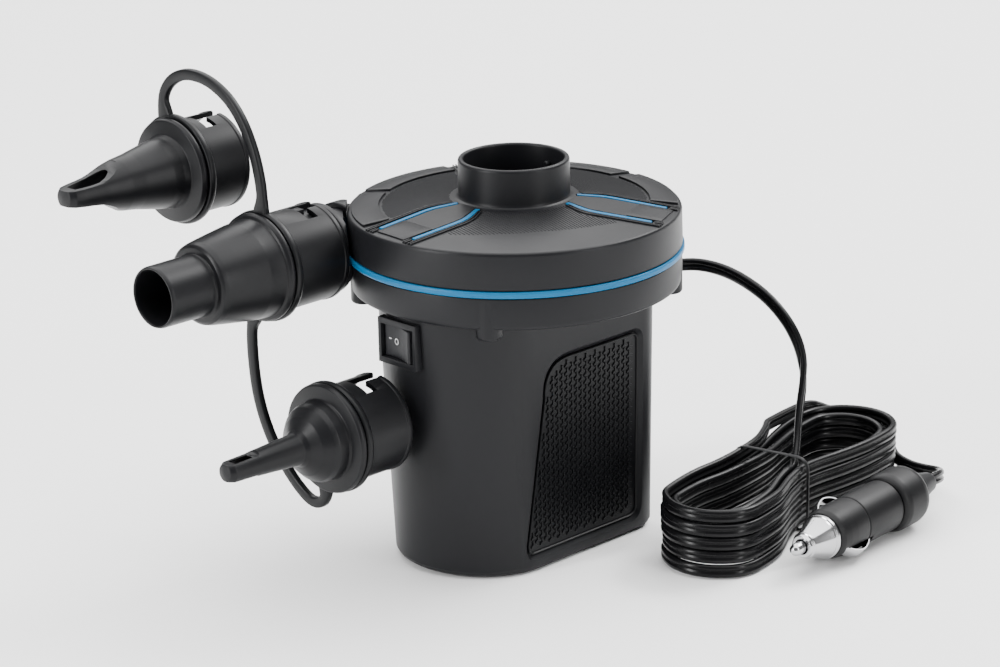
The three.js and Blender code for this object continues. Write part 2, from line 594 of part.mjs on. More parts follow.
function buildPlug() {
  const plug = new THREE.Group();
  plug.position.set(...PLUG_TIP);
  plug.rotation.z = PLUG_TURN;
  group.add(plug);
  const along = (manifold) => towardsBack(manifold, 0, 0, 0);
  const rolled = (manifold) => {
    const [c, s] = [Math.cos(SPRING_ROLL), Math.sin(SPRING_ROLL)];
    return placed(manifold, [c, s, 0], [-s, c, 0], [0, 0, 1], [0, 0, 0]);
  };

  const slotCut = block(-3.2, 3.2, -16, 16, 23, 42).subtract(block(-5, 5, -6.6, 6.6, 20, 45));
  const body = turned([
    [4.2, 20.3], [9.2, 20.3], [10.2, 24], [PLUG_R, 27], [PLUG_R, 61.7], [0, 61.7], [0, 57], [4.2, 57],
  ]).subtract(rolled(slotCut));
  add("plug_body", along(body), CHARCOAL, plug);
  add("plug_rear_ring", along(turned([
    [0, 62], [10.8, 62], [12.2, 65], [12.2, 76], [10.4, 79.6], [0, 79.6],
  ])), CHARCOAL, plug);
  add("plug_tail_boot", along(turned([
    [0, 79.9], [7.2, 79.9], [6.8, 84], [4, 95], [0, 95],
  ], 24)), SOFT, plug);
  add("plug_nose_cap", along(turned([
    [3, 6], [4.4, 6], [4.8, 9], [8.8, 20], [4.2, 20], [4.2, 14], [3, 12],
  ])), STEEL, plug);
  add("plug_centre_pin", along(turned([
    [0, 0], [1.6, 0.5], [2.5, 2.2], [2.6, 12.3], [3.8, 14.6], [3.8, 16], [0, 16],
  ], 24)), STEEL, plug);
  add("plug_fuse", along(turned([[0, 20], [3.2, 20], [3.2, 46], [0, 46]], 20)), STEEL, plug);
  const coil = Array.from({ length: 25 }, (_, i) => {
    const angle = (i / 24) * 2 * Math.PI * 3;
    return [3 * Math.cos(angle), 3 * Math.sin(angle), 46.8 + (9.4 * i) / 24];
  });
  add("plug_fuse_spring", along(tube(coil, 0.4, 36, 4)), STEEL, plug);
  for (const [number, side] of [[1, 1], [2, -1]]) {
    const bow = [[24.4, 8.6], [28, 11.4], [32.5, 12.7], [37, 11.4], [40.6, 8.6]];
    const leaf = plate(bandOutline(bow, 0.6, 16), -2.4, 4.8, 1);
    const upright = placed(leaf, [0, 0, 1], [0, side, 0], [-side, 0, 0], [0, 0, 0]);
    add(`plug_side_spring_${number}`, along(rolled(upright)), STEEL, plug);
  }
}

buildBody();
buildSwitch();
buildVolute();
buildCover();
buildMotor();
buildWires();
buildNozzles();
buildStrap();
buildCord();
buildPlug();

export default group;
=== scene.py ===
# A hand-held 12 V air pump for mattresses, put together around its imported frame.
# Shapes are written in millimetres and turned into metres where each mesh is made.
import math

import bmesh
import bpy
from mathutils import Matrix, Vector


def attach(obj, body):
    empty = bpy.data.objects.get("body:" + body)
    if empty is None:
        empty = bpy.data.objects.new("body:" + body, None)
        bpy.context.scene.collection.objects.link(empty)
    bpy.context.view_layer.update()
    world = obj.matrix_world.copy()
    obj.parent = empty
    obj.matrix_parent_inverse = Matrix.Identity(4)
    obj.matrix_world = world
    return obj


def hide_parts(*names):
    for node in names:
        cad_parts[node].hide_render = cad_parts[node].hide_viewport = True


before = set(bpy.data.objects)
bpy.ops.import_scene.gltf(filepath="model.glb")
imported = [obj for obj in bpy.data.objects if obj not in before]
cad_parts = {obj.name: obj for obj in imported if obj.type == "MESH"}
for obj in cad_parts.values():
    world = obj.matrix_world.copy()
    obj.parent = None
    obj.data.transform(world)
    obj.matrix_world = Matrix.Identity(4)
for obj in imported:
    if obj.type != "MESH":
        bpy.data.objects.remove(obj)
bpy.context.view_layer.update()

# Camera -----------------------------------------------------------------------------
# A long lens, above the pump's rim and to the right of its front, with the small roll
# of a hand-held shot.
camera_lens = 120.6
camera_side = math.radians(45)
camera_height = math.radians(16.01)
camera_distance = 1.3
camera_roll = math.radians(-1.19)
camera_pivot_height = 0.1363
camera_target = Vector((-0.0047, -0.0047, 0.0841))


def added(name, data):
    """A new object, linked to the scene."""
    thing = bpy.data.objects.new(name, data)
    bpy.context.scene.collection.objects.link(thing)
    return thing


camera_data = bpy.data.cameras.new("camera")
camera_data.lens = camera_lens
camera_data.sensor_width = 36
camera_data.clip_start = 0.05
camera = added("camera", camera_data)
camera.location = Vector((
    camera_distance * math.sin(camera_side) * math.cos(camera_height),
    -camera_distance * math.cos(camera_side) * math.cos(camera_height),
    camera_pivot_height + camera_distance * math.sin(camera_height),
))
camera_aim = (camera_target - camera.location).to_track_quat("-Z", "Y").to_matrix()
camera.rotation_euler = (camera_aim @ Matrix.Rotation(camera_roll, 3, "Z")).to_euler()
bpy.context.scene.camera = camera

# Floor and lights -------------------------------------------------------------------
# A seamless pale sheet in a white room, a broad soft light overhead, a tall panel to
# the left of the lens, a weaker one to its right, and one high behind the pump.
floor_half = 6
pump_middle = Vector((0, 0, 0.08))


def feed(node, inputs):
    """Sets a node's inputs, and links those whose value is a socket."""
    for label, value in inputs.items():
        if hasattr(value, "is_output"):
            node.id_data.links.new(value, node.inputs[label])
        else:
            node.inputs[label].default_value = value
    return node


floor_mesh = bpy.data.meshes.new("floor")
floor_corners = [(x * floor_half, y * floor_half, 0) for x, y in ((-1, -1), (1, -1), (1, 1), (-1, 1))]
floor_mesh.from_pydata(floor_corners, [], [(0, 1, 2, 3)])
floor = added("floor", floor_mesh)
paper = bpy.data.materials.new("pale_paper")
paper.use_nodes = True
feed(paper.node_tree.nodes["Principled BSDF"], {"Base Color": (0.95, 0.95, 0.95, 1), "Roughness": 0.8})
floor_mesh.materials.append(paper)

room = bpy.data.worlds.new("white_room")
room.use_nodes = True
feed(room.node_tree.nodes["Background"], {"Color": (1, 1, 1, 1), "Strength": 0.3})
bpy.context.scene.world = room


def soft_panel(name, place, width, height, power):
    """An area light that faces the pump's middle."""
    light = bpy.data.lights.new(name, "AREA")
    light.shape = "RECTANGLE"
    light.size = width
    light.size_y = height
    light.energy = power
    panel = added(name, light)
    panel.location = place
    panel.rotation_euler = (pump_middle - panel.location).to_track_quat("-Z", "Y").to_euler()


soft_panel("overhead", Vector((-0.4, 0.6, 2.4)), 5.0, 5.0, 340)
soft_panel("left_panel", Vector((-0.3, -1.3, 0.5)), 0.2, 0.9, 19)
soft_panel("back_panel", Vector((0.3, 1.7, 1.9)), 0.9, 0.6, 40)
soft_panel("right_panel", Vector((1.3, 0.2, 0.45)), 0.25, 0.8, 8)

# Cord -------------------------------------------------------------------------------
# A flat twin lead of two vinyl-covered strands side by side. It leaves the back of the
# body, falls to the floor, and is wound into a hank of two layers, from the inner top
# to the floor and up again outside, then down round the far loop to the plug.
mm = 0.001


def on_circle(radius, degrees, x=0, y=0):
    """A point on a circle round (x, y)."""
    around = math.radians(degrees)
    return x + radius * math.cos(around), y + radius * math.sin(around)


def mirrored(points):
    """The points on the other side of the first axis."""
    return [(x, -y) for x, y in points]
def tidy_mesh(mesh, crease=38):
    """Merges doubles, points faces outwards and keeps edges over `crease` degrees sharp."""
    work = bmesh.new()
    work.from_mesh(mesh)
    bmesh.ops.remove_doubles(work, verts=work.verts, dist=3e-6)
    bmesh.ops.recalc_face_normals(work, faces=work.faces)
    for face in work.faces:
        face.smooth = True
    for edge in work.edges:
        edge.smooth = edge.is_manifold and edge.calc_face_angle(0) < math.radians(crease)
    work.to_mesh(mesh)
    work.free()
    return mesh


def new_object(name, verts, faces, place=Matrix.Identity(4)):
    """An object from millimetre points, moved by `place`, which is in millimetres too."""
    mesh = bpy.data.meshes.new(name)
    mesh.from_pydata([(place @ Vector(v)) * mm for v in verts], [], faces)
    return added(name, tidy_mesh(mesh))


def smooth_path(points, step):
    """Evenly spaced points on a smooth curve through the given ones."""
    ends = [points[0] * 2 - points[1], *points, points[-1] * 2 - points[-2]]
    fine = []
    for before, start, end, after in zip(ends, ends[1:], ends[2:], ends[3:]):
        for i in range(12):
            t = i / 12
            straight = start * 2 + (end - before) * t
            bend = (before * 2 - start * 5 + end * 4 - after) * t * t
            fine.append((straight + bend + (after - before + (start - end) * 3) * t ** 3) * 0.5)
    fine.append(points[-1])
    length = sum((b - a).length for a, b in zip(fine, fine[1:]))
    count = max(2, round(length / step))
    out = [fine[0]]
    passed = 0.0
    for a, b in zip(fine, fine[1:]):
        here = (b - a).length
        while len(out) < count and passed + here >= length * len(out) / count:
            out.append(a + (b - a) * ((length * len(out) / count - passed) / here))
        passed += here
    return out + [fine[-1]]
def walls(rings, count, closed=False):
    """The faces between rings of `count` points, and from the last to the first if closed."""
    faces = []
    for ring in range(rings if closed else rings - 1):
        low, high = ring * count, (ring + 1) % rings * count
        for i in range(count):
            j = (i + 1) % count
            faces.append((low + i, low + j, high + j, high + i))
    return faces
def swept(name, path, section, upward=Vector((0, 0, 1)), widths=None, place=Matrix.Identity(4)):
    """A closed section carried along a path. The section's second axis leans to `upward`."""
    verts = []
    for i, at in enumerate(path):
        heading = (path[min(i + 1, len(path) - 1)] - path[max(i - 1, 0)]).normalized()
        up = (upward - heading * upward.dot(heading)).normalized()
        side = heading.cross(up)
        wide = widths[i] if widths else 1.0
        verts += [at + side * (x * wide) + up * y for x, y in section]
    count = len(section)
    caps = [tuple(range(count)), tuple(range(len(verts) - count, len(verts)))]
    return new_object(name, verts, walls(len(path), count) + caps, place)


def node_group(name, inputs, outputs):
    """An empty shader group with the named number sockets, and its two end nodes."""
    group = bpy.data.node_groups.new(name, "ShaderNodeTree")
    for label, value in inputs.items():
        socket = group.interface.new_socket(label, in_out="INPUT", socket_type="NodeSocketFloat")
        socket.default_value = value
    for label in outputs:
        group.interface.new_socket(label, in_out="OUTPUT", socket_type="NodeSocketFloat")
    return group, group.nodes.new("NodeGroupInput"), group.nodes.new("NodeGroupOutput")


def new_node(tree, kind, inputs, **settings):
    """A node with its settings made and its inputs fed."""
    node = tree.nodes.new(kind)
    for label, value in settings.items():
        setattr(node, label, value)
    return feed(node, inputs)


def worked_out(tree, operation, a, b):
    """The result of a maths node whose inputs are numbers or sockets."""
    return new_node(tree, "ShaderNodeMath", {0: a, 1: b}, operation=operation).outputs[0]


def object_noise(tree, scale, detail):
    """The value of a noise that lies still on the piece."""
    place = tree.nodes.new("ShaderNodeTexCoord").outputs["Object"]
    noise = new_node(tree, "ShaderNodeTexNoise", {"Vector": place, "Scale": scale, "Detail": detail})
    return noise.outputs["Fac"]


# Moulded grain: fine pits, and a slow mottle of colour and gloss.
grain, grain_in, grain_out = node_group(
    "moulded_grain", {"Pit scale": 1800.0, "Mottle scale": 60.0}, ("Height", "Mottle"))
feed(grain_out, {
    "Height": object_noise(grain, grain_in.outputs["Pit scale"], 3),
    "Mottle": object_noise(grain, grain_in.outputs["Mottle scale"], 5),
})

# Edge rub: handling makes the outer edges a little lighter.
rub, rub_in, rub_out = node_group("edge_rub", {"Start": 0.53, "Gain": 9.0}, ("Mask",))
rub_shape = rub.nodes.new("ShaderNodeNewGeometry")
rub_excess = worked_out(rub, "SUBTRACT", rub_shape.outputs["Pointiness"], rub_in.outputs["Start"])
rub_gained = worked_out(rub, "MULTIPLY", rub_excess, rub_in.outputs["Gain"])
rub_positive = worked_out(rub, "MAXIMUM", rub_gained, 0.0)
feed(rub_out, {"Mask": worked_out(rub, "MINIMUM", rub_positive, 1.0)})

# Settled dust: it lies in soft patches on what faces up.
dust, dust_in, dust_out = node_group("settled_dust", {"Patch scale": 90.0, "Amount": 0.1}, ("Mask",))
dust_facing = dust.nodes.new("ShaderNodeNewGeometry")
dust_split = new_node(dust, "ShaderNodeSeparateXYZ", {"Vector": dust_facing.outputs["Normal"]})
dust_upward = worked_out(dust, "MAXIMUM", dust_split.outputs["Z"], 0.0)
dust_patches = object_noise(dust, dust_in.outputs["Patch scale"], 6)
dust_lying = worked_out(dust, "MULTIPLY", dust_upward, dust_patches)
feed(dust_out, {"Mask": worked_out(dust, "MULTIPLY", dust_lying, dust_in.outputs["Amount"])})

plastic_specular, plastic_ior = 0.62, 1.24
metal_specular, metal_ior = 0.5, 1.5
dust_colour = (0.2, 0.2, 0.21)


def finish(name, colour, roughness, pit_scale=1800.0, pit_depth=0.00004, bump=0.35, metallic=0.0,
           rubbed=0.2, dusty=0.03):
    """A finish with grain, mottled gloss, rubbed edges and a little dust."""
    material = bpy.data.materials.new(name)
    material.use_nodes = True
    tree = material.node_tree
    grained = new_node(tree, "ShaderNodeGroup", {"Pit scale": pit_scale}, node_tree=grain).outputs
    edges = new_node(tree, "ShaderNodeGroup", {}, node_tree=rub).outputs["Mask"]
    lying = new_node(tree, "ShaderNodeGroup", {"Amount": dusty}, node_tree=dust).outputs["Mask"]
    base = (*[c * 0.85 for c in colour], 1)
    for share, upper in (
        (grained["Mottle"], [min(1, c * 1.18) for c in colour]),
        (worked_out(tree, "MULTIPLY", edges, rubbed), [min(1, c * 1.6 + 0.01) for c in colour]),
        (lying, dust_colour),
    ):
        layer = new_node(tree, "ShaderNodeMix", {0: share, 6: base, 7: (*upper, 1)}, data_type="RGBA")
        base = layer.outputs[2]
    gloss = new_node(tree, "ShaderNodeMapRange", {
        "Value": grained["Mottle"], "To Min": roughness * 0.86, "To Max": min(1.0, roughness * 1.16)})
    relief = new_node(tree, "ShaderNodeBump", {
        "Strength": bump, "Distance": pit_depth, "Height": grained["Height"]})
    feed(tree.nodes["Principled BSDF"], {
        "Base Color": base, "Roughness": gloss.outputs["Result"], "Normal": relief.outputs["Normal"],
        "Metallic": metallic, "Specular IOR Level": metal_specular if metallic else plastic_specular,
        "IOR": metal_ior if metallic else plastic_ior,
    })
    return material


def fit(piece, material, slot, *nodes, body="pump"):
    """Gives a finished piece its material and its body, and hides the nodes it stands for. The slot is not
    used.
    """
    piece.data.materials.clear()
    piece.data.materials.append(material)
    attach(piece, body)
    if nodes:
        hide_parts(*nodes)
    return piece


cable_vinyl = finish("cable_vinyl", (0.002, 0.002, 0.0024), 0.26, pit_scale=500.0, bump=0.12, rubbed=0.1)

strand_radius = 1.42
strand_offset = 1.3
hank_near = Vector((77, 31, 0))
hank_far = Vector((57, 132, 0))
hank_along = (hank_far - hank_near).normalized()
hank_across = Vector((-hank_along.y, hank_along.x, 0))
hank_length = (hank_far - hank_near).length
near_radius, waist_half, far_radius = 19.6, 13.6, 20.2
waist_at = 43.2
bottom_height, top_height = 2.85, 25.3
layer_gap = 3.1
turns_down, turns_wound = 4.0, 8.58
steps_in_turn = 48
crossing_start, crossing_end = 3.9, 4.12
leaving_start, leaving_end, last_turn_out = 8.48, 8.6, 3.4
cord_step = 2.6
tie_thickness, tie_spread = 0.9, 16

# The outline of one turn, seen from above, from the waist round the near loop and back.
half_outline = [(waist_at, -waist_half), (30, -15.2), (14, -18.7)]
half_outline += [on_circle(near_radius, a) for a in (252, 228, 204, 180)]
far_side = [(58, 14.8), (75, 18), (90, 20)]
far_arc = [on_circle(far_radius, a, hank_length) for a in (78, 52, 26, 0, -26, -52, -78)]
one_turn = half_outline + mirrored(half_outline[-2::-1]) + far_side + far_arc + mirrored(far_side[::-1])
turn_points = smooth_path([Vector((u, v, 0)) for u, v in [*one_turn, one_turn[0]]], 2.0)[:-1]


def on_hank(u, v, height):
    """A point given along and across the hank, and above the floor."""
    return hank_near + hank_along * u + hank_across * v + Vector((0, 0, height))


def hank_place(turn, inset, height):
    """A point of the winding, `turn` turns on from the waist and `inset` inside the outline."""
    spot = (turn % 1.0) * len(turn_points)
    index = int(spot)
    here = turn_points[index % len(turn_points)]
    following = turn_points[(index + 1) % len(turn_points)]
    at = here + (following - here) * (spot - index)
    heading = (turn_points[(index + 2) % len(turn_points)] - turn_points[index - 1]).normalized()
    at = at + Vector((-heading.y, heading.x, 0)) * -inset
    lift = tie_thickness * 1.2 * math.exp(-((at.x - waist_at) / tie_spread) ** 2)
    return on_hank(at.x, at.y, height + lift)


def eased(value, start, end):
    """0 before start, 1 after end and a smooth step between."""
    t = min(1.0, max(0.0, (value - start) / (end - start)))
    return t * t * (3 - 2 * t)


lead_route = [
    (0, 76.4, 91), (0, 81, 91.1), (2.6, 88.4, 91.9), (10, 94, 92.7), (19, 96.6, 92.3), (28, 97.2, 91),
    (37, 97.2, 88.6), (45, 97.3, 85.2), (52, 97.4, 80.6), (58, 97.5, 74.8), (62.4, 97.4, 68),
    (65.2, 96.6, 60.5), (67, 94.4, 53), (68.9, 90.6, 45.8), (71.6, 86.2, 38.4), (75, 81.4, 31.6),
]
tail_route = [
    (79.5, 149.9, 6.4), (87.6, 149, 7), (95.2, 146.6, 8.6), (101, 141.6, 10.4), (104.2, 135, 12),
    (105.1, 128.6, 12.6),
]
winding = []
for step in range(int(turns_wound * steps_in_turn) + 1):
    turn = step / steps_in_turn
    outside = eased(turn, crossing_start, crossing_end)
    falling = top_height - (top_height - bottom_height) * min(1.0, turn / turns_down)
    rising = bottom_height + (top_height - bottom_height) * max(0.0, turn - crossing_end) / turns_down
    height = falling if turn < turns_down else rising
    far_share = max(0.0, math.sin(2 * math.pi * (turn % 1.0) - 2.6))
    loose_in = 0.45 + 0.4 * math.sin(2.3 * turn) + 2.0 * far_share * (0.5 + 0.5 * math.sin(4.1 * turn))
    loose_out = 0.4 + 0.4 * math.sin(1.9 * turn + 1) + 0.9 * far_share * math.sin(3.3 * turn)
    inset = (layer_gap + loose_in) * (1 - outside) - loose_out * outside
    winding.append(hank_place(turn, inset - last_turn_out * eased(turn, leaving_start, leaving_end), height))
descent = []
for angle, height in ((68, 25.4), (44, 22.2), (20, 18.4), (-4, 14.2), (-28, 10.4), (-48, 7.6)):
    descent.append(on_hank(*on_circle(far_radius + last_turn_out, angle, hank_length), height))
cord_route = [Vector(p) for p in lead_route] + winding + descent + [Vector(p) for p in tail_route]
cord_path = smooth_path(cord_route, cord_step)
cord_section = []
for side in (1, -1):
    for degrees in (-150, -105, -70, -35, 0, 35, 70, 105, 150):
        across, up = on_circle(strand_radius, degrees)
        cord_section.append((-side * up, side * (strand_offset + across)))
cord = swept("twin_cord", cord_path, cord_section)
fit(cord, cable_vinyl, "cable_vinyl", "cord_lead", "cord_hank", "cord_tail")

# Cord tie: a thin soft loop that is pulled round the waist of the hank.
soft_plastic = finish("soft_plastic", (0.0035, 0.0037, 0.0044), 0.42, dusty=0.05)
tie_half, tie_top, tie_foot = 16.7, 31.4, 0.5
tie_corner = 5.0
tie_sides = 8
tie_half_thick, tie_half_wide = 0.45, 1.0
tie_line = []
for corner_v, corner_z, first in (
    (tie_half - tie_corner, tie_top - tie_corner, 0), (tie_corner - tie_half, tie_top - tie_corner, 90),
    (tie_corner - tie_half, tie_corner + tie_foot, 180), (tie_half - tie_corner, tie_corner + tie_foot, 270),
):
    for onward in (0, 22.5, 45, 67.5, 90):
        tie_line.append(on_circle(tie_corner, first + onward, corner_v, corner_z))
tie_verts = []
for v, z in tie_line:
    middle = Vector((v, z))
    outward = (middle - Vector((0, tie_top / 2))).normalized()
    for i in range(tie_sides):
        around = 2 * math.pi * i / tie_sides
        rim = middle + outward * (tie_half_thick * math.cos(around))
        tie_verts.append(on_hank(waist_at + tie_half_wide * math.sin(around), rim.x, rim.y))
tie_loop = new_object("hank_tie", tie_verts, walls(len(tie_line), tie_sides, closed=True))
cord_tie = fit(tie_loop, soft_plastic, "soft_plastic", "cord_tie")

# Vehicle plug -----------------------------------------------------------------------
# A 12 V plug: a nickel nose cap that screws off a fuse, a sprung centre pin, two bowed
# side springs, a grained body, a thicker grained ring and a ribbed tail on the cord.
plug_plastic = finish("plug_plastic", (0.0022, 0.0022, 0.0027), 0.42, pit_scale=1200.0, pit_depth=0.00006)
bright_nickel = finish("bright_nickel", (0.46, 0.46, 0.47), 0.15, pit_scale=900.0, pit_depth=0.00001,
                       bump=0.2, metallic=1.0, rubbed=0.0, dusty=0.02)
backward = Matrix(((-1, 0, 0, 0), (0, 0, 1, 0), (0, 1, 0, 0), (0, 0, 0, 1)))
plug_heading = Matrix.Rotation(0.086, 4, "Z")
plug_place = Matrix.Translation((113.6, 33.2, 12.6)) @ plug_heading @ backward


def filleted(points, radius, steps=3):
    """Rounds each inner corner of an open outline by `radius`, or less beside short sides."""
    out = [Vector(points[0])]
    for before, at, after in zip(points, points[1:], points[2:]):
        corner = Vector(at)
        back = Vector(before) - corner
        onward = Vector(after) - corner
        reach = min(radius, back.length * 0.45, onward.length * 0.45)
        start = corner + back.normalized() * reach
        end = corner + onward.normalized() * reach
        for i in range(steps + 1):
            t = i / steps
            out.append(start * (1 - t) ** 2 + corner * 2 * t * (1 - t) + end * t * t)
    return [*out, Vector(points[-1])]


def turned(name, outline, place=Matrix.Identity(4), fillet=0.3, sides=96):
    """A piece turned about its own Z from (radius, height) points, closed at its ends."""
    on_axis = outline[0][0] == 0 and outline[-1][0] == 0
    if on_axis:
        line = filleted(outline, fillet)
    else:
        middle = ((outline[0][0] + outline[-1][0]) / 2, (outline[0][1] + outline[-1][1]) / 2)
        line = filleted([middle, *outline, middle], fillet)[:-1]
    verts = []
    for r, z in line:
        around = range(1 if r < 1e-6 else sides)
        verts.append([(r * math.cos(2 * math.pi * i / sides), r * math.sin(2 * math.pi * i / sides), z)
                      for i in around])
    starts = [sum(len(ring) for ring in verts[:k]) for k in range(len(verts))]
    faces = []
    pairs = list(zip(range(len(line)), range(1, len(line)))) + ([] if on_axis else [(len(line) - 1, 0)])
    for a, b in pairs:
        for i in range(sides):
            j = (i + 1) % sides
            corners = [starts[a] + i % len(verts[a]), starts[a] + j % len(verts[a]),
                       starts[b] + j % len(verts[b]), starts[b] + i % len(verts[b])]
            corners = list(dict.fromkeys(corners))
            if len(corners) > 2:
                faces.append(corners)
    return new_object(name, [v for ring in verts for v in ring], faces, place)


def baked(piece, crease=38):
    """Turns what the modifiers make into the piece's own mesh, and removes them."""
    graph = bpy.context.evaluated_depsgraph_get()
    result = bpy.data.meshes.new_from_object(piece.evaluated_get(graph))
    piece.modifiers.clear()
    result.name = piece.name
    piece.data = tidy_mesh(result, crease)
    return piece


def cut(piece, *tools, how="DIFFERENCE"):
    """Cuts closed tools out of a piece, or joins them to it, and removes the tools."""
    for tool in tools:
        step = piece.modifiers.new("cut", "BOOLEAN")
        step.object = tool
        step.operation = how
        step.solver = "EXACT"
    baked(piece)
    for tool in tools:
        bpy.data.objects.remove(tool)
    return piece


def stacked(name, rings, place=Matrix.Identity(4)):
    """A closed body through rings of points, lowest first."""
    count = len(rings[0])
    verts = [p for ring in rings for p in ring]
    caps = [tuple(reversed(range(count))), tuple(range(len(verts) - count, len(verts)))]
    return new_object(name, verts, caps + walls(len(rings), count), place)


def plate(name, outline, low, high, place=Matrix.Identity(4)):
    """A flat plate with a closed outline in X and Y, from height `low` to `high`."""
    return stacked(name, [[(x, y, z) for x, y in outline] for z in (low, high)], place)


def softened(piece, width, segments=2, angle=35):
    """Rounds a piece's sharp edges by `width` millimetres."""
    bevel = piece.modifiers.new("soft edges", "BEVEL")
    bevel.width = width * mm
    bevel.segments = segments
    bevel.limit_method = "ANGLE"
    bevel.angle_limit = math.radians(angle)
    return baked(piece)


def rectangle(x, y, width, height):
    """The corners of a rectangle round a middle."""
    return [(x - width / 2, y - height / 2), (x + width / 2, y - height / 2),
            (x + width / 2, y + height / 2), (x - width / 2, y + height / 2)]


plug_pin = turned("plug_pin", [
    (0, 0), (1.2, 0.25), (2.1, 1.2), (2.5, 2.6), (2.55, 12.3), (3.8, 14.6), (3.8, 16), (0, 16),
], plug_place, 0.5, 48)
fit(plug_pin, bright_nickel, "plated_steel", "plug_centre_pin", body="centre_pin")
plug_nose = turned("plug_nose", [
    (3, 6), (4.4, 6), (4.6, 7.6), (5.3, 7.8), (5.3, 8.6), (4.9, 8.9), (8.3, 17.6), (8.3, 18.4), (8.9, 18.6),
    (8.9, 20), (4.2, 20), (4.2, 14), (3, 12),
], plug_place, 0.25, 72)
fit(plug_nose, bright_nickel, "plated_steel", "plug_nose_cap", body="nose_cap")

spring_roll = Matrix.Rotation(math.radians(-50), 4, "Z")
plug_shell = turned("plug_shell", [
    (4.2, 20.3), (9.1, 20.3), (9.9, 22.6), (10.3, 26), (10.5, 30), (10.5, 37.6), (10.15, 37.9), (10.15, 38.3),
    (10.5, 38.6), (10.5, 61), (10.1, 61.7), (1, 61.7), (1, 57), (4.2, 57),
], plug_place, 0.3, 96)
spring_slots = [
    plate("slot_tool", rectangle(0, side * 11.5, 6.0, 9.6), 23.4, 41.6, plug_place @ spring_roll)
    for side in (1, -1)
]
fit(cut(plug_shell, *spring_slots), plug_plastic, "plug_plastic", "plug_body")
leaf_section = [(-2.4, -0.2), (-2.2, -0.3), (2.2, -0.3), (2.4, -0.2), (2.4, 0.2), (2.2, 0.3), (-2.2, 0.3),
                (-2.4, 0.2)]
for number, side in ((1, 1), (2, -1)):
    bow = smooth_path([Vector((0, side * r, s)) for r, s in (
        (8.6, 24.4), (11.4, 28), (12.7, 32.5), (11.4, 37), (8.6, 40.6))], 0.8)
    leaf = swept(f"side_spring_{number}", bow, leaf_section, Vector((0, side, 0)), None,
                 plug_place @ spring_roll)
    fit(leaf, bright_nickel, "plated_steel", f"plug_side_spring_{number}", body=f"side_spring_{number}")

plug_ring = turned("plug_ring", [
    (0, 62), (10.6, 62), (11.6, 63.4), (12.2, 65.6), (12.2, 75.4), (11.7, 77.6), (10.4, 79.6), (0, 79.6),
], plug_place, 0.6)
fit(plug_ring, plug_plastic, "plug_plastic", "plug_rear_ring")


def copies_tree(name, material):
    """A tree that sets a copy of a piece on every point, turned by the point's angle."""
    tree = bpy.data.node_groups.new(name, "GeometryNodeTree")
    for label, kind in (("Points", "Geometry"), ("Piece", "Object"), ("Size", "Float")):
        tree.interface.new_socket(label, in_out="INPUT", socket_type=f"NodeSocket{kind}")
    tree.interface.new_socket("Set out", in_out="OUTPUT", socket_type="NodeSocketGeometry")
    start = tree.nodes.new("NodeGroupInput").outputs
    angle = new_node(tree, "GeometryNodeInputNamedAttribute", {"Name": "turn"}, data_type="FLOAT")
    about = new_node(tree, "ShaderNodeCombineXYZ", {"Z": angle.outputs["Attribute"]})
    model = new_node(tree, "GeometryNodeObjectInfo", {"Object": start["Piece"]})
    copies = new_node(tree, "GeometryNodeInstanceOnPoints", {
        "Points": start["Points"], "Instance": model.outputs["Geometry"],
        "Rotation": about.outputs["Vector"], "Scale": start["Size"],
    })
    real = new_node(tree, "GeometryNodeRealizeInstances", {"Geometry": copies.outputs["Instances"]})
    painted = new_node(tree, "GeometryNodeSetMaterial", {
        "Geometry": real.outputs["Geometry"], "Material": material})
    new_node(tree, "NodeGroupOutput", {"Set out": painted.outputs["Geometry"]})
    return tree


def set_out(name, tree, piece, spots, size=1.0, place=Matrix.Identity(4)):
    """One mesh of copies of a piece at (x, y, z, turn in radians), in millimetres."""
    mesh = bpy.data.meshes.new(name)
    mesh.from_pydata([(x * mm, y * mm, z * mm) for x, y, z, _ in spots], [], [])
    angles = mesh.attributes.new("turn", "FLOAT", "POINT")
    angles.data.foreach_set("value", [spot[3] for spot in spots])
    holder = added(name, mesh)
    modifier = holder.modifiers.new("set out", "NODES")
    modifier.node_group = tree
    sockets = {item.name: item.identifier for item in tree.interface.items_tree if item.in_out == "INPUT"}
    modifier[sockets["Piece"]] = piece
    modifier[sockets["Size"]] = size
    baked(holder)
    bpy.data.objects.remove(piece)
    holder.data.transform(Matrix.Translation(place.to_translation() * mm) @ place.to_3x3().to_4x4())
    tidy_mesh(holder.data)
    return holder


def ribs_along(name, outline, fillet, sides, heights, place):
    """Soft ribs turned from one outline and set out along an axis by a tree."""
    rib = turned("rib", outline, fillet=fillet, sides=sides)
    ribs = set_out(name, copies_tree(name, soft_plastic), rib, [(0, 0, z, 0) for z in heights], place=place)
    return fit(ribs, soft_plastic, "soft_plastic")


# The tail is a tapered boot with two ribs.
tail_boot = turned("plug_tail", [(0, 79.9), (6.6, 79.9), (6.2, 84), (3.9, 95), (0, 95)], plug_place, 0.5, 64)
fit(tail_boot, soft_plastic, "soft_plastic", "plug_tail_boot")
tail_ribs = ribs_along("plug_tail_ribs", [(3.2, -0.7), (6.9, -0.7), (7.2, 0), (6.9, 0.7), (3.2, 0.7)],
                       0.25, 40, (81.4, 84.2), plug_place)

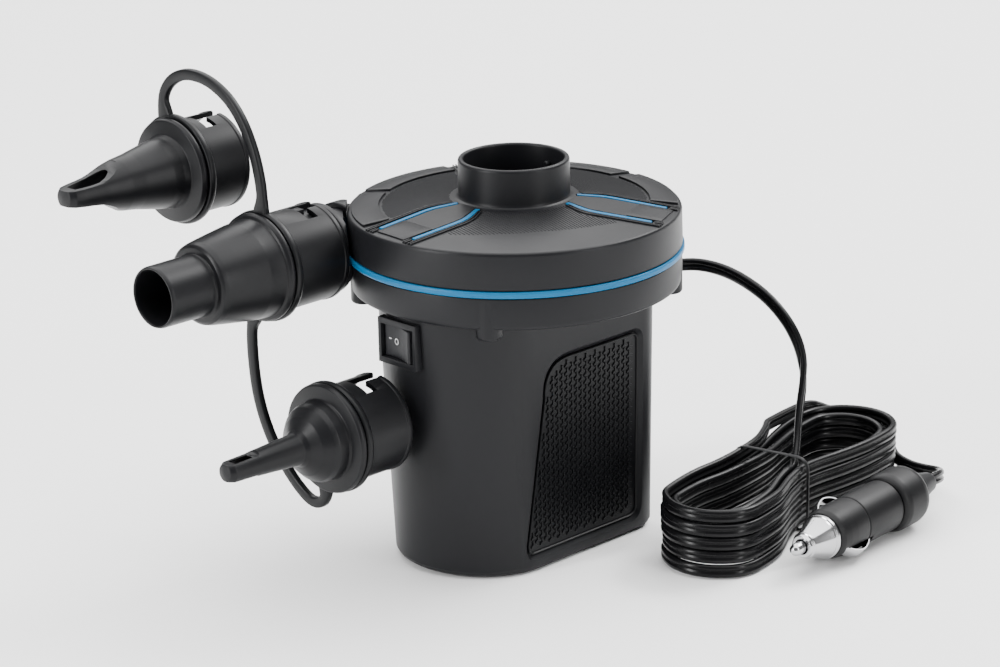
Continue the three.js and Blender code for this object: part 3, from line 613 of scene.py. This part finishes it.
# Strain relief ----------------------------------------------------------------------
# A soft tapered sleeve on the lead, snapped into the back wall by a collar. It is turned,
# and three ribs behind the collar let it bend with the lead.
lead_height = 91
relief_place = Matrix.Translation((0, 41.4, lead_height)) @ backward
strain_relief = turned("strain_relief", [
    (2.4, 0), (6, 0), (6, 3.1), (4.1, 3.4), (4.1, 6.3), (6.4, 6.6), (6.4, 9), (5.3, 10),
    (3.8, 34.6), (2.4, 34.6),
], relief_place, 0.4, 48)
fit(strain_relief, soft_plastic, "soft_plastic", "cord_strain_relief")
ribs_along("strain_relief_ribs", [(3.2, -0.8), (5.3, -0.8), (5.5, 0), (5.3, 0.8), (3.2, 0.8)],
           0.3, 32, (13, 17, 21), relief_place)

# Grip body --------------------------------------------------------------------------
# An oblong moulding in grained black plastic with a round front, narrower at the foot.
# Its sides are recessed for the grip panels; the front is cut for the switch.
shell_plastic = finish("shell_plastic", (0.0058, 0.006, 0.0072), 0.4)
body_top, draft_height = 105.7, 106
body_half_width, body_back, back_corner = 35, 47.7, 11
front_middle = -26
foot_levels = [(0, 3.2), (0.3, 2.1), (0.9, 1.2), (1.8, 0.45), (3.2, 0), (body_top, 0)]


def drafted(point):
    """Leans a point in towards the floor, as the mould's draft does."""
    depth = 1 - point[2] / draft_height
    share = 0.1 if point[1] < 0 else 0.035
    return (point[0] * (1 - 0.03 * depth), point[1] * (1 - share * depth), point[2])


def body_outline(inset):
    """The body's section at its top, `inset` inside the surface."""
    radius = body_half_width - inset
    corner = back_corner - min(inset, 5.5)
    back = body_back - inset
    line = [(radius * math.cos(math.pi * i / 48), front_middle - radius * math.sin(math.pi * i / 48))
            for i in range(49)]
    for middle_x, first in ((-radius + corner, 180), (radius - corner, 90)):
        line += [on_circle(corner, first - 90 * i / 8, middle_x, back - corner) for i in range(9)]
    return line


def body_block(name, inset, levels):
    """The body's shape, `inset` inside its surface, through (height, foot rounding) levels."""
    rings = []
    for z, foot in levels:
        shrink = 1 - foot / body_half_width
        rings.append([drafted((x * shrink, y * shrink, z)) for x, y in body_outline(inset)])
    return stacked(name, rings)


def panel_outline(grow):
    """The grip panel's outline in Y and Z, `grow` larger all round."""
    corners = [
        ((-29 - grow, 7.5 - grow), None), ((28.5, 7.5 - grow), (33.5 + grow, 7.5 - grow)),
        ((33.5 + grow, 12.5), None), ((33.5 + grow, 80), (33.5 + grow, 84 + grow)),
        ((29.5, 84 + grow), None), ((-6, 84 + grow), (-20 - grow, 84 + grow)),
        ((-20 - grow, 70), None), ((-32 - grow, 11.5), (-32 - grow, 7.5 - grow)),
    ]
    line = []
    for index, (at, control) in enumerate(corners):
        line.append(at)
        if control:
            end = corners[(index + 1) % len(corners)][0]
            for i in range(1, 10):
                t = i / 10
                line.append(tuple(at[k] * (1 - t) ** 2 + control[k] * 2 * t * (1 - t) + end[k] * t * t
                                  for k in (0, 1)))
    return line


def panel_block(name, side, levels):
    """A closed piece on the panel's outline through (distance from the axis, growth) levels."""
    rings = [[drafted((side * x, y, z)) for y, z in panel_outline(grow)] for x, grow in levels]
    return stacked(name, rings)


def disc_tool(name, radius, low, high, place=Matrix.Identity(4), sides=144):
    """A plain round tool for a cut."""
    return turned(name, [(0, low), (radius, low), (radius, high), (0, high)], place, 0, sides)


wall_thickness, floor_thickness, past_top = 2.4, 3, 107
switch_x, switch_z = -2, 94.8
recess_levels = [(33.1, 0.3), (33.5, 0.35), (35.4, 2.7)]
body_shell = body_block("grip_body", 0, foot_levels)
cut(
    body_shell,
    body_block("cavity_tool", wall_thickness, [(floor_thickness, 0), (past_top, 0)]),
    plate("switch_tool", rectangle(switch_x, -60, 18.6, 20), switch_z - 7.5, switch_z + 7.5),
    disc_tool("cord_tool", 4.4, 0, 20, Matrix.Translation((0, 40, lead_height)) @ backward, 32),
    panel_block("recess_tool", 1, recess_levels),
    panel_block("recess_tool", -1, recess_levels),
)
tidy_mesh(body_shell.data, 20)
fit(body_shell, shell_plastic, "shell_plastic", "body_shell")

# Grip panels ------------------------------------------------------------------------
# Two rubber plates glued in the recesses. Each has a raised lip, and a field of small
# interlocking three-armed blocks moulded on it.
grip_rubber = finish("grip_rubber", (0.003, 0.0032, 0.004), 0.38, pit_scale=2500.0, rubbed=0.12)
block_pitch, block_height, block_size = 3.15, 0.6, 0.87
block_turn = math.radians(97)
block_margin = 2.4
grid_back, grid_low = -34, 5
plate_face = 33.7


def three_armed_outline():
    """The outline of one block: three arms with a bent end each."""
    line = []
    for arm in range(3):
        around = Matrix.Rotation(2 * math.pi * arm / 3, 2)
        for x, y in ((0.4, -0.46), (1.9, -0.5), (2.25, 0.0), (1.95, 0.5), (1.6, 0.46), (0.27, 0.46)):
            line.append(tuple(around @ Vector((x, y))))
    return line


def inside_panel(y, z, margin):
    """Whether a place on the side lies inside the panel by a margin."""
    line = panel_outline(-margin)
    odd = False
    for (ay, az), (by, bz) in zip(line, line[1:] + line[:1]):
        if (az > z) != (bz > z) and y < (by - ay) * (z - az) / (bz - az) + ay:
            odd = not odd
    return odd


def block_spots():
    """Where the blocks stand on the panel: a triangular grid inside the lip."""
    spots = []
    for column in range(26):
        for row in range(28):
            y = grid_back + column * block_pitch * math.sqrt(3) / 2
            z = grid_low + (row + 0.5 * (column % 2)) * block_pitch
            if inside_panel(y, z, block_margin):
                spots.append((y, z, 0.0, block_turn))
    return spots


grip_tree = copies_tree("grip_blocks", grip_rubber)
for side, label in ((1, "right"), (-1, "left")):
    panel = panel_block(f"grip_plate_{label}", side, [
        (33.4, 0.0), (34.2, 0.0), (34.45, -0.2), (34.45, -0.5), (34.2, -0.7), (plate_face, -0.8),
    ])
    fit(panel, grip_rubber, "grip_rubber", f"grip_panel_{label}")
    levels = ((-0.15, 1), (0.25, 1), (block_height, 0.93))
    model = stacked("block_model", [
        [(x * share, y * share, z) for x, y in three_armed_outline()] for z, share in levels])
    sideward = Matrix(((0, 0, side, 0), (1, 0, 0, 0), (0, 1, 0, 0), (0, 0, 0, 1)))
    blocks = set_out(f"grip_blocks_{label}", grip_tree, model, block_spots(), block_size,
                     Matrix.Translation((side * plate_face, 0, 0)) @ sideward)
    for vertex in blocks.data.vertices:
        vertex.co = Vector(drafted(vertex.co * 1000)) * mm
    fit(blocks, grip_rubber, "grip_rubber")

# Rocker switch ----------------------------------------------------------------------
# A snap-in rocker on its side under the rim: a black bezel, a button on an upright
# pivot with its on half standing out, and the two plain on and off marks printed on it.
switch_face = -62.7
bezel = plate("switch_bezel", rectangle(switch_x, -54.4, 20.4, 16.6), switch_z - 9, switch_z + 9)
cut(bezel, body_block("body_tool", -0.3, [(-1, 0), (past_top, 0)]))
bezel_box = plate("bezel_box", rectangle(switch_x, -51.9, 18, 19.8), switch_z - 7.2, switch_z + 7.2)
well_tool = plate("well_tool", rectangle(switch_x, -57, 17.2, 14), switch_z - 6.7, switch_z + 6.7)
cut(bezel, bezel_box, how="UNION")
cut(bezel, well_tool)
fit(softened(bezel, 0.7, 3), shell_plastic, "shell_plastic", "switch_housing")
rocker_tilt = Matrix.Rotation(math.radians(-10), 4, "Z")
rocker_place = Matrix.Translation((switch_x, switch_face + 2.2, switch_z)) @ rocker_tilt
button_side = [
    (-8.1, -1.4), (-7.6, -2), (-5.6, -1.35), (-3, -0.9), (-0.6, -0.75), (0.6, -0.75), (3, -0.95), (5.6, -1.4),
    (7.6, -2), (8.1, -1.4), (7.2, 2.2), (3, 5), (-3, 5), (-7.2, 2.2),
]
rocker_plastic = finish("rocker_plastic", (0.012, 0.0122, 0.014), 0.38, pit_scale=900.0, pit_depth=0.00008,
                        bump=0.5)
rocker = plate("rocker_button", button_side, -6.4, 6.4, rocker_place)
fit(softened(rocker, 0.45, 3, 30), rocker_plastic, "soft_plastic", "rocker_button", body="rocker")
mark_paint = finish("mark_paint", (0.6, 0.6, 0.6), 0.5, bump=0.05, rubbed=0.0, dusty=0.0)
frontward = Matrix(((1, 0, 0, 0), (0, 0, -1, 0), (0, 1, 0, 0), (0, 0, 0, 1)))
on_mark = plate("on_mark", rectangle(-5.2, 0.8, 1.7, 0.4), 0.9, 1.44, rocker_place @ frontward)
off_mark = turned("off_mark", [(0.9, 0.5), (1.2, 0.5), (1.2, 0.98), (0.9, 0.98)],
                  rocker_place @ frontward @ Matrix.Translation((-1.4, 0.2, 0)), 0, 32)
fit(on_mark, mark_paint, "soft_plastic", body="rocker")
fit(off_mark, mark_paint, "soft_plastic", body="rocker")

# Volute housing ---------------------------------------------------------------------
# The lower half of the blower's head, moulded with the outlet pipe, its bayonet lug
# and four screw bosses that show under the skirt.
outlet_x, outlet_z, pipe_bore = -49, 122, 12.2
outlet_place = Matrix.Translation((outlet_x, 0, outlet_z)) @ frontward
screw_circle = 60
screw_angles = (-125, -55, 40, 140)
screw_spots = [on_circle(screw_circle, angle) for angle in screw_angles]

housing = turned("volute_housing_shell", [
    (6.5, 106), (63.2, 106), (64.3, 106.6), (64.6, 107.6), (65, 118.6), (62.6, 118.6), (62.6, 108.2),
    (6.5, 108.2),
], fillet=0.5, sides=144)
pipe = turned("pipe", [
    (0, 30), (14.2, 30), (14.2, 55.4), (17.7, 55.6), (18, 56), (18, 58.2), (17.6, 58.7), (16.7, 59),
    (16.7, 81), (16.1, 81.8), (0, 81.8),
], outlet_place, 0.3, 80)
cut(pipe, disc_tool("above_tool", 66.6, 118.6, 150), disc_tool("inside_tool", 62.8, 108.2, 150))
pipe_flange = turned("pipe_flange", [
    (0, 42), (16.4, 42), (16.4, 47.4), (15.8, 48), (0, 48),
], outlet_place, 0.3, 80)
cut(pipe_flange, disc_tool("above_tool", 65.3, 100, 150))
lug = plate("lug", rectangle(outlet_x, -69, 4, 4), 136, 140.6)
bosses = [turned("boss", [(0, 101.6), (4.2, 101.6), (5, 102.5), (5, 118.4), (0, 118.4)],
                 Matrix.Translation((x, y, 0)), 0.6, 32) for x, y in screw_spots]
cut(housing, pipe, softened(lug, 0.5), pipe_flange, *bosses, how="UNION")
cut(
    housing,
    turned("bore_tool", [(0, -10), (pipe_bore, -10), (pipe_bore, 57), (14.6, 62), (14.6, 90), (0, 90)],
           outlet_place, 0, 80),
    *[turned("hole_tool", [(0, 90), (3.4, 90), (3.4, 104.6), (1.8, 104.6), (1.8, 122), (0, 122)],
             Matrix.Translation((x, y, 0)), 0, 24) for x, y in screw_spots],
)
fit(housing, shell_plastic, "shell_plastic", "volute_housing")

# Head screws: four pan heads with a cross recess, set out in the bosses by a tree.
plated_steel = finish("plated_steel", (0.5, 0.5, 0.51), 0.3, pit_scale=900.0, pit_depth=0.00001, bump=0.2,
                      metallic=1.0, rubbed=0.0)
screw_model = turned("screw_model", [
    (0, 102.2), (2.2, 102.3), (3, 103.2), (3, 104.4), (1.4, 104.4), (1.4, 118), (0, 118),
], fillet=0.3, sides=24)
cut(
    screw_model,
    plate("cross_tool", rectangle(0, 0, 3.2, 0.7), 101, 103.3),
    plate("cross_tool", rectangle(0, 0, 0.7, 3.2), 101, 103.3),
)
screws = set_out("head_screws", copies_tree("boss_screws", plated_steel), screw_model,
                 [(x, y, 0, math.radians(angle)) for (x, y), angle in zip(screw_spots, screw_angles)])
fit(screws, plated_steel, "plated_steel", *[f"head_screw_{number}" for number in (1, 2, 3, 4)])

# Trim ring --------------------------------------------------------------------------
# A blue band clamped between the two halves of the head, a little proud of both. It is
# turned as one ring, and the outlet pipe's bore is cut through it.
blue_plastic = finish("blue_plastic", (0.001, 0.105, 0.235), 0.36, bump=0.1, rubbed=0.1, dusty=0.02)
trim = turned("trim_band", [
    (62.9, 118.9), (65.6, 118.9), (65.95, 119.4), (65.95, 120.9), (65.6, 121.4), (62.9, 121.4),
], fillet=0.25, sides=144)
cut(trim, disc_tool("pipe_tool", 14.5, 30, 90, outlet_place, 80))
fit(trim, blue_plastic, "blue_plastic", "trim_ring")

# Top cover --------------------------------------------------------------------------
# The upper half of the head: a side wall, a shallow cone and the inlet collar with two
# bayonet studs. Three arms run from the collar to the rim, each with two grooves.
rim_z, crown_z, rim_radius, collar_radius = 136.3, 140.8, 64, 21.7
arm_angles = (-94.5, 25.5, 145.5)
bar_across, bar_bend = 9.85, 33.5


def cone_height(radius):
    """The height of the cover's cone at a radius."""
    return rim_z + (crown_z - rim_z) * (rim_radius - radius) / (rim_radius - collar_radius)


def ribbon_on_cone(name, edge_a, edge_b, lift, depth=0.4, columns=2):
    """A closed strip between two lines on the cone, `lift` above it and `depth` into it."""
    verts = []
    for (ax, ay), (bx, by) in zip(edge_a, edge_b):
        for share in [i / (columns - 1) for i in range(columns)]:
            x = ax + (bx - ax) * share
            y = ay + (by - ay) * share
            z = cone_height(math.hypot(x, y))
            verts += [(x, y, z - depth), (x, y, z + lift)]
    row = columns * 2
    faces = []
    for i in range(len(edge_a) - 1):
        here, beyond = i * row, (i + 1) * row
        for k in range(columns - 1):
            a, b = k * 2, k * 2 + 2
            faces.append((here + a + 1, here + b + 1, beyond + b + 1, beyond + a + 1))
            faces.append((here + a, beyond + a, beyond + b, here + b))
        faces.append((here, here + 1, beyond + 1, beyond))
        faces.append((here + row - 2, beyond + row - 2, beyond + row - 1, here + row - 1))
    for first in (0, (len(edge_a) - 1) * row):
        for k in range(columns - 1):
            a = first + k * 2
            faces.append((a, a + 2, a + 3, a + 1))
    return new_object(name, verts, faces)


def on_arm(angle, points):
    """Points given as (out, across) along an arm, in X and Y."""
    c, s = on_circle(1, angle)
    return [(out * c - across * s, out * s + across * c) for out, across in points]


def beside(points, offset):
    """A line that runs beside another one at a distance."""
    out = []
    for i, at in enumerate(points):
        before, after = points[max(i - 1, 0)], points[min(i + 1, len(points) - 1)]
        heading = (Vector(after) - Vector(before)).normalized()
        out.append((at[0] - heading.y * offset, at[1] + heading.x * offset))
    return out


def bar_line(side, start=23.6, end=58.6):
    """The middle line of one blue bar along its arm: out from the collar, then along."""
    line = filleted([(start, side * 6.0), (bar_bend, side * 10.4), (end, side * bar_across)], 4, 6)
    far = [(bar_bend + (end - bar_bend) * t, side * (10.4 - 0.55 * t)) for t in (0.35, 0.5, 0.65, 0.8)]
    return [tuple(p) for p in line[:-1]] + far + [(end, side * bar_across)]


def arm_strip(name, angle, line, half_width, lift, depth):
    """A strip on the cone, along a line of an arm."""
    edges = [on_arm(angle, beside(line, offset)) for offset in (half_width, -half_width)]
    return ribbon_on_cone(name, *edges, lift, depth)


cover = turned("top_cover_shell", [
    (62.6, 121.7), (65.2, 121.7), (65, rim_z - 1.2), (64.7, rim_z - 0.4), (rim_radius, rim_z),
    (22.9, crown_z - 0.1), (21.9, crown_z + 0.5), (collar_radius, crown_z + 1.4), (collar_radius, 155.2),
    (21.1, 156), (20.1, 156), (19.5, 155.4), (19.5, 138.4), (62.6, 133.9),
], fillet=0.5, sides=144)
arm_sides = [(angle, side) for angle in arm_angles for side in (-1, 1)]
cut(cover, *[arm_strip("groove_tool", angle, bar_line(side, 23.2, 59.2), 1.35, lift=1.5, depth=0.9)
             for angle, side in arm_sides])
studs = []
for side, half_turn in ((1, 0), (-1, math.pi)):
    stud_place = Matrix.Translation((0, side * 20.4, 149)) @ frontward @ Matrix.Rotation(half_turn, 4, "X")
    studs.append(turned("stud", [(0, 0), (1.4, 0), (1.4, 2.6), (1.0, 3), (0, 3)], stud_place, 0.2, 24))
cut(cover, *studs, how="UNION")
cut(cover, disc_tool("bore_tool", pipe_bore, 30, 90, outlet_place, 80))
fit(cover, shell_plastic, "shell_plastic", "top_cover")

for number, (angle, side) in enumerate(arm_sides, 1):
    bar = arm_strip(f"blue_bar_{number}", angle, bar_line(side), 1.0, lift=0.45, depth=0.6)
    fit(softened(bar, 0.3, 2), blue_plastic, "blue_plastic", f"blue_inlay_{number}")

# Cover relief: the arms stand a little proud, with a raised block near the rim and two
# thin ridges outside each bar; smooth bands frame the two rear fields.


def joined(name, pieces):
    """One object from several closed pieces."""
    work = bmesh.new()
    for piece in pieces:
        work.from_mesh(piece.data)
        bpy.data.objects.remove(piece)
    mesh = bpy.data.meshes.new(name)
    work.to_mesh(mesh)
    work.free()
    return added(name, tidy_mesh(mesh))


def arc(radius, start, end, count=24):
    """Points along a circle about the axis, between two angles in degrees."""
    return [on_circle(radius, start + (end - start) * i / count) for i in range(count + 1)]


arm_inner = [(23.2, 4.2), (33.2, 8.2), (40, 8.4), (48, 8.25)]
arm_outer = [(48, 8.25), (55, 8.1), (61.8, 7.95)]
arm_ridges = []
for angle in arm_angles:
    for name, edge, lift, rounding, segments in (
        ("arm", arm_inner, 0.25, 0.1, 1), ("step", arm_outer, 0.6, 0.25, 2),
    ):
        face = ribbon_on_cone(name, on_arm(angle, edge), on_arm(angle, mirrored(edge)), lift, 0.4, 6)
        arm_ridges.append(softened(face, rounding, segments))
    for side in (-1, 1):
        for offset, end in ((2.3, 63.2), (3.5, 62.9)):
            line = beside(bar_line(side, 26, end), side * offset)
            arm_ridges.append(softened(arm_strip("ridge", angle, line, 0.3, lift=0.65, depth=0.3), 0.15, 2))
        for offset in (-0.6, 0.6):
            line = [(59.9, side * bar_across + offset), (63.3, side * 9.8 + offset)]
            arm_ridges.append(softened(arm_strip("nub", angle, line, 0.35, lift=0.7, depth=0.3), 0.2, 2))
fit(joined("cover_arm_relief", arm_ridges), shell_plastic, "shell_plastic")

band_inside, band_outside = 52.6, 63.4
rear_bands = []
for start, end in ((41.5, 83.0), (88.0, 129.5), (161.5, 203.0), (208.0, 249.5)):
    band = ribbon_on_cone("band", arc(band_inside, start, end), arc(band_outside, start, end), 0.9)
    rear_bands.append(softened(band, 0.3, 2))
fit(joined("cover_rim_bands", rear_bands), shell_plastic, "shell_plastic")

# Fine slanted ribs fill the fields between the arms and the roots of the arms.
field_start = 25


def hatch(name, allowed, slant, pitch=1.25, width=0.62, lift=0.22, sunk=0.1, stride=0.5):
    """Fine ribs along a slant, kept where `allowed` says so."""
    c, s = on_circle(1, slant)
    half_x, half_y = s * width / 2, c * width / 2
    verts, faces = [], []
    for row in range(-58, 59):
        run = []
        for step in range(-128, 130):
            x = step * stride * c - row * pitch * s
            y = step * stride * s + row * pitch * c
            if step < 129 and allowed(x, y):
                run.append((x, y))
                continue
            if len(run) > 4:
                start = len(verts)
                for x, y in run:
                    z = cone_height(math.hypot(x, y))
                    verts += [(x + half_x, y - half_y, z - sunk), (x, y, z + lift),
                              (x - half_x, y + half_y, z - sunk)]
                for i in range(len(run) - 1):
                    a, b = start + i * 3, start + i * 3 + 3
                    faces += [(a, b, b + 1, a + 1), (a + 1, b + 1, b + 2, a + 2), (a + 2, b + 2, b, a)]
                faces += [(start, start + 1, start + 2), (len(verts) - 1, len(verts) - 2, len(verts) - 3)]
            run = []
    return new_object(name, verts, faces)


def from_arm(x, y, angle):
    """A place as (out, across) of an arm."""
    c, s = on_circle(1, angle)
    return x * c + y * s, -x * s + y * c


def clear_of_arms(x, y):
    """Whether a place lies outside all three arms and their ridges."""
    places = [from_arm(x, y, angle) for angle in arm_angles]
    return all(out < 0 or abs(across) > min(15.2, 5.5 + 0.85 * max(0, out - 21)) for out, across in places)


def bearing_from_front(x, y):
    """The angle of a place about the axis, from the middle of the front field."""
    return math.degrees(math.atan2(y, x)) - (arm_angles[0] + arm_angles[1]) / 2


def front_field(x, y):
    """The inner part of the front field, inside its smooth crescent."""
    bearing = bearing_from_front(x, y)
    edge = 45 + 0.0032 * bearing * bearing
    return abs(bearing) < 60 and field_start < math.hypot(x, y) < edge and clear_of_arms(x, y)


def rear_field(x, y):
    """The two rear fields inside their bands."""
    behind = abs((bearing_from_front(x, y) + 180) % 360 - 180) > 60
    return behind and field_start < math.hypot(x, y) < band_inside - 1 and clear_of_arms(x, y)


fit(hatch("front_hatch", front_field, -12), shell_plastic, "shell_plastic")
fit(hatch("rear_hatch", rear_field, 40), shell_plastic, "shell_plastic")

# Inlet grille: two rings on three bars that keep fingers from the impeller.
grille_low, grille_high = 136, 137.6
grille_parts = [
    turned("ring", [(inner, grille_low), (outer, grille_low), (outer, grille_high), (inner, grille_high)],
           fillet=0.3, sides=sides) for inner, outer, sides in ((17, 19.3, 72), (9, 11, 48))]
grille_parts += [plate("bar", rectangle(0, 0, 36, 1.6), grille_low + 0.1, grille_high - 0.1,
                       Matrix.Rotation(math.radians(angle), 4, "Z")) for angle in (0, 60, 120)]
grille = grille_parts[0]
cut(grille, *grille_parts[1:], how="UNION")
grille.name = "inlet_guard"
fit(grille, shell_plastic, "shell_plastic", "inlet_grille")

# Nozzles ----------------------------------------------------------------------------
# Three tips share one bayonet socket and a flange that holds the strap's ring: a wide
# stepped one on the outlet, a pinched one above it and a slim one below.
nozzle_plastic = finish("nozzle_plastic", (0.0045, 0.0046, 0.0055), 0.36, pit_scale=1300.0, pit_depth=0.00006)
flange_y = -87
nozzle_places = {
    kind: Matrix.Translation((x, flange_y, z)) @ frontward
    for kind, x, z in (("large", outlet_x, outlet_z), ("upper", -97.5, 151.5), ("lower", -12.8, 61.5))
}
slot_angles = (62, 69, 76, 83, 91)
slot_width = 5.2
socket_bore, flange_seat = 17, 18.4


def nozzle(kind, socket, corner, barrel, outside, inside, kept=(), holes=()):
    """A nozzle turned from its socket's mouth to its tip, with the bayonet slot cut in."""
    place = nozzle_places[kind]
    blank = turned(f"{kind}_tip", [
        (socket_bore, -socket), (barrel - 0.3, -socket), (barrel + 0.35, -socket + 0.6),
        (barrel + 0.35, -socket + 2.2), (barrel, -socket + 2.5), (barrel, -1.8), (flange_seat, -1.8),
        (flange_seat, 1.8), *outside, *inside, (socket_bore, -1.5),
    ], place, 0.35)
    sector = [on_circle(25, a) for a in slot_angles] + [on_circle(14, a) for a in slot_angles[::-1]]
    cut(blank, *kept, how="INTERSECT")
    cut(
        blank,
        plate("slot_tool", rectangle(0, 19.5, slot_width, 11), -socket - 1, corner, place),
        plate("slot_tool", sector, corner - slot_width, corner, place),
        *holes,
    )
    return fit(softened(blank, 0.25, 2, 50), nozzle_plastic, "nozzle_plastic", f"{kind}_nozzle",
               body=f"{kind}_nozzle")


def across_tool(kind, half_outline, half):
    """A tool with the same outline above and below a nozzle's line, as wide as the nozzle."""
    turn = Matrix(((0, 0, -1, 0), (0, 1, 0, 0), (1, 0, 0, 0), (0, 0, 0, 1)))
    outline = mirrored(half_outline) + half_outline[::-1]
    return plate("across_tool", outline, -half, half, nozzle_places[kind] @ turn)


nozzle(
    "large", 27.4, -15.6, 19,
    [(20.6, 1.8), (21.2, 2.4), (21.2, 3.4), (20.4, 4.6), (19.3, 5), (18.9, 12), (17.2, 24), (16.2, 30.4),
     (15.6, 32.6), (14.4, 33.4), (12.4, 33.5), (12.05, 34.2), (11.9, 53.4), (11.5, 54.6), (10.9, 54.6)],
    [(10.6, 54), (10.6, 33), (14.4, 30), (17, 4)],
)
pinched = [(-25, 25), (29.6, 25), (30.5, 11), (31.6, 9.6), (33, 8.6), (36, 6.6), (39, 5.2), (42, 4.2),
           (46, 3.7), (57, 3)]
nozzle(
    "upper", 21, -8, 18.8,
    [(20, 1.8), (20.6, 2.4), (20.6, 3.4), (20, 4.6), (14.6, 5.4), (13.8, 8), (13.4, 12), (11, 24), (10.2, 30),
     (8, 40), (6.6, 50), (5.6, 54), (4, 56), (0, 56.6)],
    [(0, 53), (4.2, 52.4), (5.8, 44), (6.6, 38), (8.4, 26), (12, 5), (17, 2)],
    kept=[across_tool("upper", pinched, 25)],
)
flattened = [(-30, 30), (37, 30), (38, 6.4), (39.4, 4.2), (41, 3.5), (56, 3.2)]
nozzle(
    "lower", 24, -10, 19,
    [(20.9, 1.8), (21.5, 2.4), (21.5, 3.4), (21, 4.6), (16, 5.1), (15.5, 5.8), (15.4, 10), (14.6, 12),
     (11.5, 15.4), (7.4, 18), (6.2, 19.6), (5, 39), (4.6, 52), (3.4, 54), (0, 54.6)],
    [(0, 51.5), (3.2, 51.5), (3.6, 38), (4.4, 18), (12, 9), (17, 4)],
    kept=[across_tool("lower", flattened, 30)],
    holes=[plate("tip_slot_tool", rectangle(0, 0, 3.8, 16), 42, 50.5, nozzle_places["lower"])],
)

# Nozzle strap -----------------------------------------------------------------------
# One soft moulding that keeps the three nozzles together: a ring snapped into each
# flange's groove, and two bowed arms between the rings.
strap_plastic = finish("strap_plastic", (0.0035, 0.0037, 0.0044), 0.36, pit_scale=1500.0, dusty=0.04)
strap_rings = [turned("strap_ring", [
    (18.7, -1.5), (21.3, -1.5), (21.8, -0.7), (21.8, 0.7), (21.3, 1.5), (18.7, 1.5),
], place, 0.35) for place in nozzle_places.values()]
arm_routes = [
    [(-49, 142.3), (-48.2, 150), (-49.6, 159), (-52.6, 168), (-58, 177.5), (-66, 185.2), (-77, 190),
     (-89, 190.6), (-98.6, 186.6), (-103.8, 179.5), (-103.2, 171.5)],
    [(-54.8, 102.2), (-57.4, 94), (-57.2, 80), (-55, 67), (-50, 54.8), (-42.4, 44.3), (-33.5, 36),
     (-25.5, 32), (-19, 34.4), (-17.6, 41.7)],
]
arm_half = [(-2.2, -0.8), (-1.9, -1.25), (-1.4, -1.45), (1.4, -1.45), (1.9, -1.25), (2.2, -0.8)]
arm_section = arm_half + mirrored(arm_half[::-1])
strap_arms = []
for route in arm_routes:
    path = smooth_path([Vector((x, flange_y, z)) for x, z in route], 1.6)
    last = len(path) - 1
    widths = [1 + 0.75 * (1 - eased(min(i, last - i), 0, 5)) for i in range(len(path))]
    strap_arms.append(swept("strap_arm", path, arm_section, Vector((0, -1, 0)), widths))
strap = strap_rings[0]
cut(strap, *strap_rings[1:], *strap_arms, how="UNION")
strap.name = "nozzle_strap_moulding"
fit(strap, strap_plastic, "nozzle_plastic", "nozzle_strap", body="strap")

# Motor, impeller and wiring ---------------------------------------------------------
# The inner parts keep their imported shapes: a steel can with a nylon end cap, a copper
# wound rotor, the moulded fan, copper tabs, screws, and three short vinyl leads.
copper = finish("wound_copper", (0.5, 0.22, 0.1), 0.35, metallic=1.0, rubbed=0.0)
nylon = finish("white_nylon", (0.6, 0.6, 0.56), 0.45, rubbed=0.0)
inner_finishes = {
    "motor_can": plated_steel, "motor_end_cap": nylon, "motor_rotor": copper, "impeller": soft_plastic,
    "motor_screw_1": plated_steel, "motor_screw_2": plated_steel, "plug_fuse": bright_nickel,
    "plug_fuse_spring": plated_steel, "switch_terminal_1": copper, "switch_terminal_2": copper,
    "wire_feed": cable_vinyl, "wire_return": cable_vinyl, "wire_motor": cable_vinyl,
}
for node, material in inner_finishes.items():
    for material_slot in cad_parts[node].material_slots:
        material_slot.material = material
